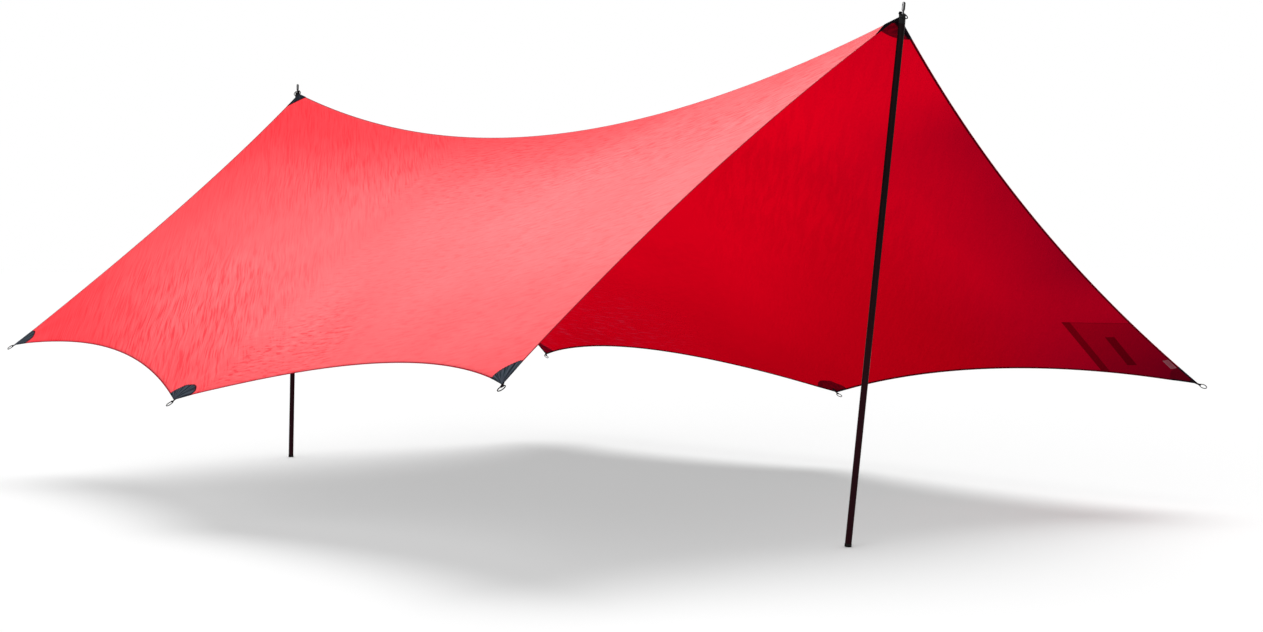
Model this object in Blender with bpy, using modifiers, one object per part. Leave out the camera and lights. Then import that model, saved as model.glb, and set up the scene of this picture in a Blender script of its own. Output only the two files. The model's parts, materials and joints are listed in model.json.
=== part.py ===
import math

import bmesh
import bpy
import numpy as np
from mathutils import Matrix, Vector

for thing in list(bpy.data.objects):
    bpy.data.objects.remove(thing, do_unlink=True)

# All lengths are in metres. X runs along the ridge, the near side is -Y, the ground is z = 0.
plan_shift = np.array((-0.0335, 0.0100, 0.0))

# Main sizes of the pitched cloth: the ridge between the two peaks, how far the hem points
# reach from it, and their heights.
ridge_length = 4.444
peak_height = 1.957
near_reach = 1.832
far_reach = 1.813
near_left_height = 0.651
near_middle_height = 0.516
near_right_height = 0.684
far_right_height = 0.549
far_middle_height = 0.390
far_left_height = 0.503

# Where each corner lies inside the rectangle of those sizes; below zero it lies outside.
near_left_end_inset, near_left_side_inset = 0.102, 0.203
near_right_end_inset, near_right_side_inset = -0.001, 0.061
far_right_end_inset, far_right_side_inset = -0.066, 0.081
far_left_end_inset, far_left_side_inset = 0.058, 0.208
near_middle_offset = 0.046
far_middle_offset = 0.058


def hem_point(along, across, height):
    return np.array((along, across, height)) + plan_shift


half_ridge = ridge_length / 2
peak_left_point = hem_point(-half_ridge, 0.0, peak_height)
peak_right_point = hem_point(half_ridge, 0.0, peak_height)
near_left_point = hem_point(
    near_left_end_inset - half_ridge, near_left_side_inset - near_reach, near_left_height
)
near_middle_point = hem_point(near_middle_offset, -near_reach, near_middle_height)
near_right_point = hem_point(
    half_ridge - near_right_end_inset, near_right_side_inset - near_reach, near_right_height
)
far_right_point = hem_point(
    half_ridge - far_right_end_inset, far_reach - far_right_side_inset, far_right_height
)
far_middle_point = hem_point(far_middle_offset, far_reach, far_middle_height)
far_left_point = hem_point(
    far_left_end_inset - half_ridge, far_reach - far_left_side_inset, far_left_height
)

# Hollow of each free edge, and where along its chord the curve leans.
ridge_sag, ridge_lean = 0.328, 0.476
left_near_sag, left_near_lean = 0.100, 0.446
left_far_sag, left_far_lean = 0.105, 0.460
right_near_sag, right_near_lean = 0.132, 0.414
right_far_sag, right_far_lean = 0.132, 0.526
near_left_bay_sag, near_left_bay_lean = 0.156, 0.436
near_right_bay_sag, near_right_bay_lean = 0.181, 0.591
far_left_bay_sag, far_left_bay_lean = 0.209, 0.429
far_right_bay_sag, far_right_bay_lean = 0.164, 0.569

# Cloth and the small sewn pieces.
cloth_thickness = 0.0005
layer_gap = 0.0003
along_cells = 24
across_cells = 9
seam_half_width = 0.011
tape_thickness = 0.0004
tape_end_inset = 0.070
patch_radius = 0.125
patch_thickness = 0.0006
scallop_width = 0.0135
scallop_depth = 0.003
pocket_thickness = 0.0005
pocket_depth_from_tip = 0.133
pocket_mouth_width = 0.027
closure_width = 0.050
closure_length = 0.200
strip_thickness = 0.0008
label_thickness = 0.0003
label_length = 0.058
label_width = 0.032

# Webbing loops.
webbing_thickness = 0.0020
webbing_layer = 0.0010
corner_webbing_width = 0.011
peak_webbing_width = 0.012
webbing_tail = 0.035
loop_reach = 0.0095
wire_play = 0.0003

# Rings: round, bent from wire.
corner_ring_radius = 0.0145
corner_wire_radius = 0.00175
peak_ring_radius = 0.01775
peak_wire_radius = 0.0020
peak_ring_drop = math.radians(44.0)
peak_eye_rise = 0.0070

# Poles.
pole_diameter = 0.025
tube_wall = 0.0012
fit_gap = 0.0003
joint_gap = 0.0003
section_count = 3
ferrule_length = 0.120
ferrule_wall = 0.0012
foot_diameter = 0.027
foot_height = 0.012
foot_plug = 0.022
cap_height = 0.035
cap_top_diameter = 0.022
cap_plug = 0.025
spigot_neck_diameter = 0.0085
spigot_head_diameter = 0.0125
spigot_neck_length = 0.013
spigot_rise = 0.045
spigot_shank = 0.030
spigot_hole_diameter = 0.0045
spigot_hole_rise = 0.033
cap_rise_over_peak = 0.009
tip_inset = 0.0155
left_foot_end_inset, left_foot_side_step = 0.022, 0.072
right_foot_end_inset, right_foot_side_step = 0.179, 0.078
left_foot_point = hem_point(left_foot_end_inset - half_ridge, -left_foot_side_step, 0.0)
right_foot_point = hem_point(half_ridge - right_foot_end_inset, -right_foot_side_step, 0.0)
round_sides = 24

tarp = bpy.data.collections.new("camping_tarp")
bpy.context.scene.collection.children.link(tarp)
helpers = bpy.data.collections.new("cutters")
bpy.context.scene.collection.children.link(helpers)

cloth_red = (0.80, 0.05, 0.07)
patch_grey = (0.07, 0.08, 0.10)
webbing_black = (0.02, 0.02, 0.02)
steel_grey = (0.55, 0.56, 0.58)
pole_black = (0.03, 0.028, 0.03)
rubber_black = (0.03, 0.03, 0.03)
label_grey = (0.55, 0.50, 0.50)


def material(name, colour, metallic, roughness):
    made = bpy.data.materials.new(name)
    made.use_nodes = True
    shader = made.node_tree.nodes["Principled BSDF"]
    shader.inputs["Base Color"].default_value = (*colour, 1.0)
    shader.inputs["Metallic"].default_value = metallic
    shader.inputs["Roughness"].default_value = roughness
    return made


def place(name, mesh, colour, metallic=0.0, roughness=0.7, matrix=None):
    thing = bpy.data.objects.new(name, mesh)
    tarp.objects.link(thing)
    if matrix is not None:
        thing.matrix_world = matrix
    mesh.materials.clear()
    mesh.materials.append(material(name, colour, metallic, roughness))
    return thing


def cutter(name, mesh, matrix=None):
    thing = bpy.data.objects.new(name, mesh)
    helpers.objects.link(thing)
    thing.hide_render = True
    thing.display_type = "WIRE"
    if matrix is not None:
        thing.matrix_world = matrix
    return thing


def mesh_of(name, points, faces):
    mesh = bpy.data.meshes.new(name)
    mesh.from_pydata([tuple(p) for p in points], [], [tuple(f) for f in faces])
    mesh.update()
    return mesh


def plate(name, outlines, depth):
    # A flat outline with any holes, filled and made thick both ways from its plane.
    curve = bpy.data.curves.new(name, "CURVE")
    curve.dimensions = "2D"
    curve.fill_mode = "BOTH"
    curve.extrude = depth / 2
    for outline in outlines:
        spline = curve.splines.new("POLY")
        spline.points.add(len(outline) - 1)
        for point, (x, y) in zip(spline.points, outline):
            point.co = (x, y, 0.0, 1.0)
        spline.use_cyclic_u = True
    holder = bpy.data.objects.new(name, curve)
    bpy.context.scene.collection.objects.link(holder)
    bpy.context.view_layer.update()
    graph = bpy.context.evaluated_depsgraph_get()
    mesh = bpy.data.meshes.new_from_object(holder.evaluated_get(graph))
    bpy.data.objects.remove(holder, do_unlink=True)
    work = bmesh.new()
    work.from_mesh(mesh)
    bmesh.ops.remove_doubles(work, verts=work.verts, dist=0.00001)
    bmesh.ops.recalc_face_normals(work, faces=work.faces)
    work.to_mesh(mesh)
    work.free()
    return mesh


def turned(name, profile, colour, metallic, roughness, matrix, closed=False):
    # The profile runs down the outer side; a closed one makes a sleeve.
    edges = [(i, i + 1) for i in range(len(profile) - 1)]
    if closed:
        edges.append((len(profile) - 1, 0))
    mesh = bpy.data.meshes.new(name)
    mesh.from_pydata([(x, 0.0, z) for x, z in profile], edges, [])
    thing = place(name, mesh, colour, metallic, roughness, matrix)
    screw = thing.modifiers.new("turn", "SCREW")
    screw.axis = "Z"
    screw.angle = 2 * math.pi
    screw.steps = round_sides
    screw.render_steps = round_sides
    screw.use_merge_vertices = True
    screw.merge_threshold = 0.00001
    screw.use_normal_calculate = not closed
    screw.use_smooth_shade = False
    return thing


def frame_matrix(origin, x_axis, y_axis, z_axis):
    made = Matrix.Identity(4)
    for column, axis in enumerate((x_axis, y_axis, z_axis)):
        for row in range(3):
            made[row][column] = float(axis[row])
    for row in range(3):
        made[row][3] = float(origin[row])
    return made


def unit(vector):
    return vector / np.linalg.norm(vector)


# The pitched cloth: eight hollow edges, a sagging ridge and a surface relaxed between them.
def curve_points(start, end, toward, sag, lean, steps):
    middle = (start + end) / 2
    run = unit(end - start)
    pull = toward - middle
    pull = unit(pull - (pull @ run) * run)
    control = start + (end - start) * lean + 2 * sag * pull
    t = np.linspace(0.0, 1.0, steps + 1)[:, None]
    return (1 - t) ** 2 * start + 2 * t * (1 - t) * control + t**2 * end


ridge_middle = (peak_left_point + peak_right_point) / 2 - np.array((0.0, 0.0, ridge_sag))


def over_ridge(x):
    f = (x - peak_left_point[0]) / (peak_right_point[0] - peak_left_point[0])
    drop = np.array((0.0, 0.0, ridge_sag * 4 * f * (1 - f)))
    return peak_left_point + (peak_right_point - peak_left_point) * f - drop


def bay(start, end, sag, lean, steps):
    return curve_points(start, end, over_ridge(((start + end) / 2)[0]), sag, lean, steps)


half = along_cells // 2
ridge_points = curve_points(
    peak_left_point,
    peak_right_point,
    (peak_left_point + peak_right_point) / 2 - np.array((0.0, 0.0, 1.0)),
    ridge_sag,
    ridge_lean,
    along_cells,
)
near_hem = np.vstack(
    (
        bay(near_left_point, near_middle_point, near_left_bay_sag, near_left_bay_lean, half),
        bay(near_middle_point, near_right_point, near_right_bay_sag, near_right_bay_lean, half)[1:],
    )
)
far_hem = np.vstack(
    (
        bay(far_left_point, far_middle_point, far_left_bay_sag, far_left_bay_lean, half),
        bay(far_middle_point, far_right_point, far_right_bay_sag, far_right_bay_lean, half)[1:],
    )
)
near_target = (ridge_middle + near_middle_point) / 2
far_target = (ridge_middle + far_middle_point) / 2
near_left_edge = curve_points(
    peak_left_point, near_left_point, near_target, left_near_sag, left_near_lean, across_cells
)
near_right_edge = curve_points(
    peak_right_point, near_right_point, near_target, right_near_sag, right_near_lean, across_cells
)
far_left_edge = curve_points(
    peak_left_point, far_left_point, far_target, left_far_sag, left_far_lean, across_cells
)
far_right_edge = curve_points(
    peak_right_point, far_right_point, far_target, right_far_sag, right_far_lean, across_cells
)


def relaxed_net(top, bottom, left, right):
    # Every inner knot rests at the weighted middle of its four neighbours.
    columns = len(top)
    rows = len(left)
    net = np.zeros((columns, rows, 3))
    net[:, 0] = top
    net[:, -1] = bottom
    net[0] = left
    net[-1] = right
    along_step = np.linalg.norm(top[-1] - top[0]) / (columns - 1)
    across_step = np.linalg.norm(left[-1] - left[0]) / (rows - 1)
    along_pull = (across_step / along_step) ** 2
    number = -np.ones((columns, rows), dtype=int)
    number[1:-1, 1:-1] = np.arange((columns - 2) * (rows - 2)).reshape(columns - 2, rows - 2)
    size = (columns - 2) * (rows - 2)
    matrix = np.zeros((size, size))
    known = np.zeros((size, 3))
    for i in range(1, columns - 1):
        for j in range(1, rows - 1):
            at = number[i, j]
            for di, dj, weight in ((1, 0, along_pull), (-1, 0, along_pull), (0, 1, 1.0), (0, -1, 1.0)):
                matrix[at, at] += weight
                other = number[i + di, j + dj]
                if other < 0:
                    known[at] += weight * net[i + di, j + dj]
                else:
                    matrix[at, other] -= weight
    solved = np.linalg.solve(matrix, known)
    net[1:-1, 1:-1] = solved.reshape(columns - 2, rows - 2, 3)
    return net


def with_seam_row(net):
    # A narrow first row beside the ridge carries the seam allowance.
    run = net[:, 1] - net[:, 0]
    run /= np.linalg.norm(run, axis=1)[:, None]
    row = net[:, 0] + run * seam_half_width
    return np.concatenate((net[:, :1], row[:, None], net[:, 1:]), axis=1)


near_net = with_seam_row(relaxed_net(ridge_points, near_hem, near_left_edge, near_right_edge))
far_net = with_seam_row(relaxed_net(ridge_points, far_hem, far_left_edge, far_right_edge))
net_rows = near_net.shape[1]


def rising(i, j):
    # Which way each cell is split: no split line runs into a tie-out point.
    if j == 0:
        return i < half
    return (i % half) >= half // 2


def net_faces(side, first=0, last=along_cells):
    faces = []
    for i in range(first, last):
        for j in range(net_rows - 1):
            a, b, c, d = (i, j), (i + 1, j), (i + 1, j + 1), (i, j + 1)
            pair = ((a, b, d), (b, c, d)) if rising(i, j) else ((a, b, c), (a, c, d))
            for corners in pair:
                knots = [p[0] * net_rows + p[1] for p in corners]
                faces.append(tuple(knots) if side == "far" else tuple(reversed(knots)))
    return faces


def corner_normals(points, faces):
    # Offset directions: a step of d along them moves every face out by about d.
    total = np.zeros_like(points)
    normals = []
    for face in faces:
        p, q, r = (points[k] for k in face)
        normal = np.cross(q - p, r - p)
        normal /= np.linalg.norm(normal)
        normals.append(normal)
        for at, one, two in ((0, q - p, r - p), (1, r - q, p - q), (2, p - r, q - r)):
            turn = math.acos(max(-1.0, min(1.0, unit(one) @ unit(two))))
            total[face[at]] += normal * turn
    length = np.linalg.norm(total, axis=1)
    length[length == 0] = 1.0
    total /= length[:, None]
    share = np.zeros(len(points))
    count = np.zeros(len(points))
    for face, normal in zip(faces, normals):
        for knot in face:
            share[knot] += total[knot] @ normal
            count[knot] += 1
    share[count > 0] /= count[count > 0]
    share[share < 0.3] = 1.0
    return total / share[:, None]


def thicken(thing, thickness, outward=True):
    solid = thing.modifiers.new("thickness", "SOLIDIFY")
    solid.thickness = thickness
    solid.offset = 1.0 if outward else -1.0
    solid.use_even_offset = True
    return thing


def panel(name, net, side):
    points = net.reshape(-1, 3).copy()
    ridge_rows = np.arange(along_cells + 1) * net_rows
    points[ridge_rows, 1] += layer_gap / 2 * (1 if side == "far" else -1)
    made = place(name, mesh_of(name, points, net_faces(side)), cloth_red, 0.0, 0.75)
    return thicken(made, cloth_thickness)


panel("canopy_near_panel", near_net, "near")
panel("canopy_far_panel", far_net, "far")

# Both panels as one surface, for pieces that cross the ridge.
near_count = near_net.reshape(-1, 3).shape[0]
whole_points = np.vstack((near_net.reshape(-1, 3), far_net.reshape(-1, 3)))
ridge_twin = {near_count + i * net_rows: i * net_rows for i in range(along_cells + 1)}
far_faces = [
    tuple(ridge_twin.get(k + near_count, k + near_count) for k in face) for face in net_faces("far")
]
whole_faces = net_faces("near") + far_faces
whole_normals = corner_normals(whole_points, whole_faces)
near_normals = corner_normals(near_net.reshape(-1, 3), net_faces("near"))
far_normals = corner_normals(far_net.reshape(-1, 3), net_faces("far"))


def sheet_part(name, points, normals, faces, centre, reach, lift):
    # The facets of the cloth within reach of a point, lifted off it.
    kept = [f for f in faces if min(np.linalg.norm(points[k] - centre) for k in f) < reach]
    used = sorted({k for face in kept for k in face})
    index = {k: at for at, k in enumerate(used)}
    moved = points[used] + normals[used] * lift
    return mesh_of(name, moved, [tuple(index[k] for k in face) for face in kept])


def facet_normal(points, faces, knot):
    normal = np.zeros(3)
    for face in faces:
        if knot in face:
            p, q, r = (points[k] for k in face)
            normal += unit(np.cross(q - p, r - p))
    return unit(normal)


def edge_run(points, knot, neighbour):
    return unit(points[knot] - points[neighbour])


def knot_of(i, j):
    return i * net_rows + j


def scalloped_disc(radius, first_angle, last_angle):
    # Rounded teeth over the part of the disc that meets the cloth, plain round elsewhere.
    outline = []
    span = last_angle - first_angle
    teeth = max(3, round(span * radius / scallop_width))
    for tooth in range(teeth):
        for step in range(4):
            share = step / 4
            angle = first_angle + span * (tooth + share) / teeth
            r = radius - scallop_depth + scallop_depth * math.sin(math.pi * share)
            outline.append((r * math.cos(angle), r * math.sin(angle)))
    rest = 2 * math.pi - span
    for step in range(10):
        angle = last_angle + rest * step / 10
        outline.append((radius * math.cos(angle), radius * math.sin(angle)))
    return outline


def patch(name, points, normals, faces, tip, outward, normal, spread):
    # Fan-shaped reinforcement on the outer face round a tie-out point.
    lift = cloth_thickness + layer_gap
    made = place(
        name,
        sheet_part(name, points, normals, faces, tip, patch_radius * 3.0, lift),
        patch_grey,
        0.0,
        0.8,
    )
    thicken(made, patch_thickness)
    inward = -outward
    across = np.cross(normal, inward)
    base = frame_matrix(tip, inward, across, normal)
    outline = scalloped_disc(patch_radius, -spread, spread)
    tool = cutter(name + "_outline", plate(name + "_outline", [outline], 0.24), base)
    cut = made.modifiers.new("outline", "BOOLEAN")
    cut.operation = "INTERSECT"
    cut.solver = "EXACT"
    cut.object = tool
    return made


def offset_side(path, distance):
    side = []
    for at in range(len(path) - 1):
        before = unit(path[at] - path[at - 1]) if at > 0 else None
        after = unit(path[at + 1] - path[at])
        turn_after = np.array((-after[1], after[0]))
        if before is None:
            side.append(path[at] + turn_after * distance)
        else:
            turn_before = np.array((-before[1], before[0]))
            bisector = unit(turn_before + turn_after)
            side.append(path[at] + bisector * distance / (bisector @ turn_after))
    return side


def loop_outline(path, thickness, eye_radius):
    # Side view of a webbing loop: its tail, then the round eye at the end of the path.
    path = [np.array(p) for p in path]
    heading = unit(path[-1] - path[-2])
    base_angle = math.atan2(heading[1], heading[0])
    opening = math.asin(thickness / 2 / eye_radius)
    left_side = offset_side(path, thickness / 2)
    right_side = offset_side(path, -thickness / 2)
    start = base_angle + math.pi - opening
    end = base_angle - math.pi + opening
    steps = 18
    arc = []
    for step in range(steps + 1):
        angle = start + (end - start) * step / steps
        arc.append(path[-1] + eye_radius * np.array((math.cos(angle), math.sin(angle))))
    return [tuple(p) for p in left_side + arc + list(reversed(right_side))]


def circle_outline(centre, radius, sides=18):
    return [
        (
            centre[0] + radius * math.cos(2 * math.pi * k / sides),
            centre[1] + radius * math.sin(2 * math.pi * k / sides),
        )
        for k in range(sides)
    ]


def eye_hole(wire_radius, ring_radius, width):
    # Room for the bent wire over the width of the webbing.
    bow = ring_radius - math.sqrt(ring_radius**2 - (width / 2) ** 2)
    return wire_radius + bow / 2 + wire_play, bow


def webbing_loop(name, path, width, hole_radius, base):
    eye_radius = hole_radius + webbing_layer
    outline = loop_outline(path, webbing_thickness, eye_radius)
    hole = circle_outline(path[-1], hole_radius)
    return place(name, plate(name, [outline, hole], width), webbing_black, 0.0, 0.8, base)


def ring(name, ring_radius, wire_radius, bow, origin, heading, across, colour=steel_grey):
    # The origin lies in the webbing eye; the ring hangs out along the heading.
    bpy.ops.mesh.primitive_torus_add(
        major_radius=ring_radius,
        minor_radius=wire_radius,
        major_segments=28,
        minor_segments=8,
    )
    thing = bpy.context.object
    for collection in list(thing.users_collection):
        collection.objects.unlink(thing)
    tarp.objects.link(thing)
    thing.name = name
    thing.data.name = name
    thing.data.transform(Matrix.Translation((ring_radius - bow / 2, 0.0, 0.0)))
    thing.matrix_world = frame_matrix(origin, heading, across, np.cross(heading, across))
    thing.data.materials.clear()
    thing.data.materials.append(material(name, colour, 1.0, 0.3))
    return thing


corner_hole, corner_bow = eye_hole(corner_wire_radius, corner_ring_radius, corner_webbing_width)
peak_hole, peak_bow = eye_hole(peak_wire_radius, peak_ring_radius, peak_webbing_width)


def tie_out(place_name, net, normals, side, i, neighbours, spread, kind):
    # One tie-out at the hem: patch, webbing loop and ring.
    points = net.reshape(-1, 3)
    faces = net_faces(side)
    knot = knot_of(i, net_rows - 1)
    tip = points[knot]
    runs = [edge_run(points, knot, knot_of(*n)) for n in neighbours]
    normal = facet_normal(points, faces, knot)
    outward = runs[0] + runs[1]
    outward = unit(outward - (outward @ normal) * normal)
    across = np.cross(normal, outward)
    patch(f"{kind}_patch_{place_name}", points, normals, faces, tip, outward, normal, spread)
    depth = layer_gap + webbing_thickness / 2 + (0.0006 if kind == "side" else 0.0)
    base = frame_matrix(tip, outward, normal, np.cross(outward, normal))
    path = [(-webbing_tail, -depth), (loop_reach, -depth)]
    webbing_loop(f"{kind}_loop_{place_name}", path, corner_webbing_width, corner_hole, base)
    eye = tip + outward * loop_reach - normal * depth
    ring(
        f"{kind}_ring_{place_name}",
        corner_ring_radius,
        corner_wire_radius,
        corner_bow,
        eye,
        outward,
        across,
    )
    return eye, across, outward, normal, tip


joints = {}
corner_spread = math.radians(42.0)
side_spread = math.radians(80.0)
last = net_rows - 1
joints["corner_ring_near_left"] = tie_out(
    "near_left", near_net, near_normals, "near", 0, ((0, last - 1), (1, last)), corner_spread, "corner"
)
joints["corner_ring_near_right"] = tie_out(
    "near_right", near_net, near_normals, "near", along_cells,
    ((along_cells, last - 1), (along_cells - 1, last)), corner_spread, "corner",
)
joints["corner_ring_far_left"] = tie_out(
    "far_left", far_net, far_normals, "far", 0, ((0, last - 1), (1, last)), corner_spread, "corner"
)
joints["corner_ring_far_right"] = tie_out(
    "far_right", far_net, far_normals, "far", along_cells,
    ((along_cells, last - 1), (along_cells - 1, last)), corner_spread, "corner",
)
joints["side_ring_near"] = tie_out(
    "near", near_net, near_normals, "near", half, ((half - 1, last), (half + 1, last)), side_spread, "side"
)
joints["side_ring_far"] = tie_out(
    "far", far_net, far_normals, "far", half, ((half - 1, last), (half + 1, last)), side_spread, "side"
)

# Stow pocket on the outer face of the far right corner, and a blank label under the hem.
corner_tip = far_net[along_cells, last]
pocket_points = far_net.reshape(-1, 3)
pocket_faces = net_faces("far")
_, corner_across, corner_outward, corner_normal, _ = joints["corner_ring_far_right"]
corner_inward = -corner_outward
corner_side = np.cross(corner_normal, corner_inward)


def sewn_piece(name, outline, lift, thickness, colour, outer=True):
    # A flat outline in the corner's own plane, pressed onto the facets of the cloth.
    made = place(
        name,
        sheet_part(name, pocket_points, far_normals, pocket_faces, corner_tip, 0.85, lift),
        colour,
        0.0,
        0.75,
    )
    thicken(made, thickness, outward=outer)
    base = frame_matrix(corner_tip, corner_inward, corner_side, corner_normal)
    tool = cutter(name + "_outline", plate(name + "_outline", [outline], 0.30), base)
    cut = made.modifiers.new("outline", "BOOLEAN")
    cut.operation = "INTERSECT"
    cut.solver = "EXACT"
    cut.object = tool
    return made


mouth_run = np.array((-0.698, -0.716))
mouth_across = np.array((0.716, -0.698))
top_run = np.array((-0.753, 0.658))
mouth_top = np.array((0.599, 0.024))
mouth_outer = mouth_top + mouth_across * pocket_mouth_width
pocket_lift = cloth_thickness + layer_gap
strip_lift = pocket_lift + pocket_thickness + layer_gap
pocket_outline = [
    mouth_outer,
    mouth_outer + mouth_run * 0.42,
    np.array((pocket_depth_from_tip, -0.20)),
    np.array((pocket_depth_from_tip, 0.20)),
    mouth_outer + top_run * 0.41,
]
sewn_piece("stow_pocket", pocket_outline, pocket_lift, pocket_thickness, cloth_red)
strip_start = mouth_outer + mouth_run * 0.0015 - mouth_across * 0.0010
strip_end = mouth_top + mouth_run * 0.0015
sewn_piece(
    "pocket_mouth_strip",
    [strip_start, strip_start + mouth_run * 0.42, strip_end + mouth_run * 0.42, strip_end],
    strip_lift, strip_thickness, cloth_red,
)
closure_middle = np.array((0.341, -0.016))
closure_along = mouth_run * closure_length / 2
closure_out = mouth_across * closure_width / 2
sewn_piece(
    "pocket_closure_strip",
    [
        closure_middle - closure_along - closure_out,
        closure_middle - closure_along + closure_out,
        closure_middle + closure_along + closure_out,
        closure_middle + closure_along - closure_out,
    ],
    strip_lift, strip_thickness, patch_grey,
)
label_corner = np.array((0.156, 0.083))
label_run = unit(np.array((-0.050, -0.035)))
label_in = unit(np.array((0.035, -0.050)))
sewn_piece(
    "blank_label",
    [
        label_corner,
        label_corner + label_run * label_length,
        label_corner + label_run * label_length + label_in * label_width,
        label_corner + label_in * label_width,
    ],
    -layer_gap, label_thickness, label_grey, outer=False,
)

# Peak patches wrap over the ridge at both ends.
for place_name, i, neighbour in (("left", 0, 1), ("right", along_cells, along_cells - 1)):
    tip = whole_points[knot_of(i, 0)]
    outward = edge_run(whole_points, knot_of(i, 0), knot_of(neighbour, 0))
    normal = unit(np.cross(np.cross(outward, np.array((0.0, 0.0, 1.0))), outward))
    patch(
        f"peak_patch_{place_name}", whole_points, whole_normals, whole_faces,
        tip, outward, normal, math.radians(88.0),
    )

# Tape under the ridge seam, stopping short of both peak loops.
end_share = tape_end_inset / np.linalg.norm(ridge_points[1] - ridge_points[0])
stations = [end_share] + list(range(1, along_cells)) + [along_cells - end_share]
near_flat = whole_points[:near_count].reshape(along_cells + 1, net_rows, 3)
far_flat = far_net


def between(rows, at):
    low = min(int(math.floor(at)), along_cells - 1)
    share = at - low
    return rows[low] * (1 - share) + rows[low + 1] * share


tape_points = []
for at in stations:
    tape_points.append(between(near_net[:, 1], at))
    tape_points.append(between(near_net[:, 0], at))
    tape_points.append(between(far_net[:, 1], at))
tape_points = np.array(tape_points)
tape_faces = []
for k in range(len(stations) - 1):
    a = 3 * k
    up = stations[k] < half
    for column in (0, 1):
        p, q, r, s = a + column, a + 3 + column, a + 4 + column, a + 1 + column
        if (column == 0) == up:
            tape_faces += [(p, q, r), (p, r, s)]
        else:
            tape_faces += [(p, q, s), (q, r, s)]
tape_normals = corner_normals(tape_points, tape_faces)
if tape_normals[:, 2].mean() < 0:
    tape_faces = [tuple(reversed(f)) for f in tape_faces]
    tape_normals = corner_normals(tape_points, tape_faces)
tape = place(
    "ridge_seam_tape",
    mesh_of("ridge_seam_tape", tape_points - tape_normals * layer_gap, tape_faces),
    cloth_red,
    0.0,
    0.6,
)
thicken(tape, tape_thickness, outward=False)


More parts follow.
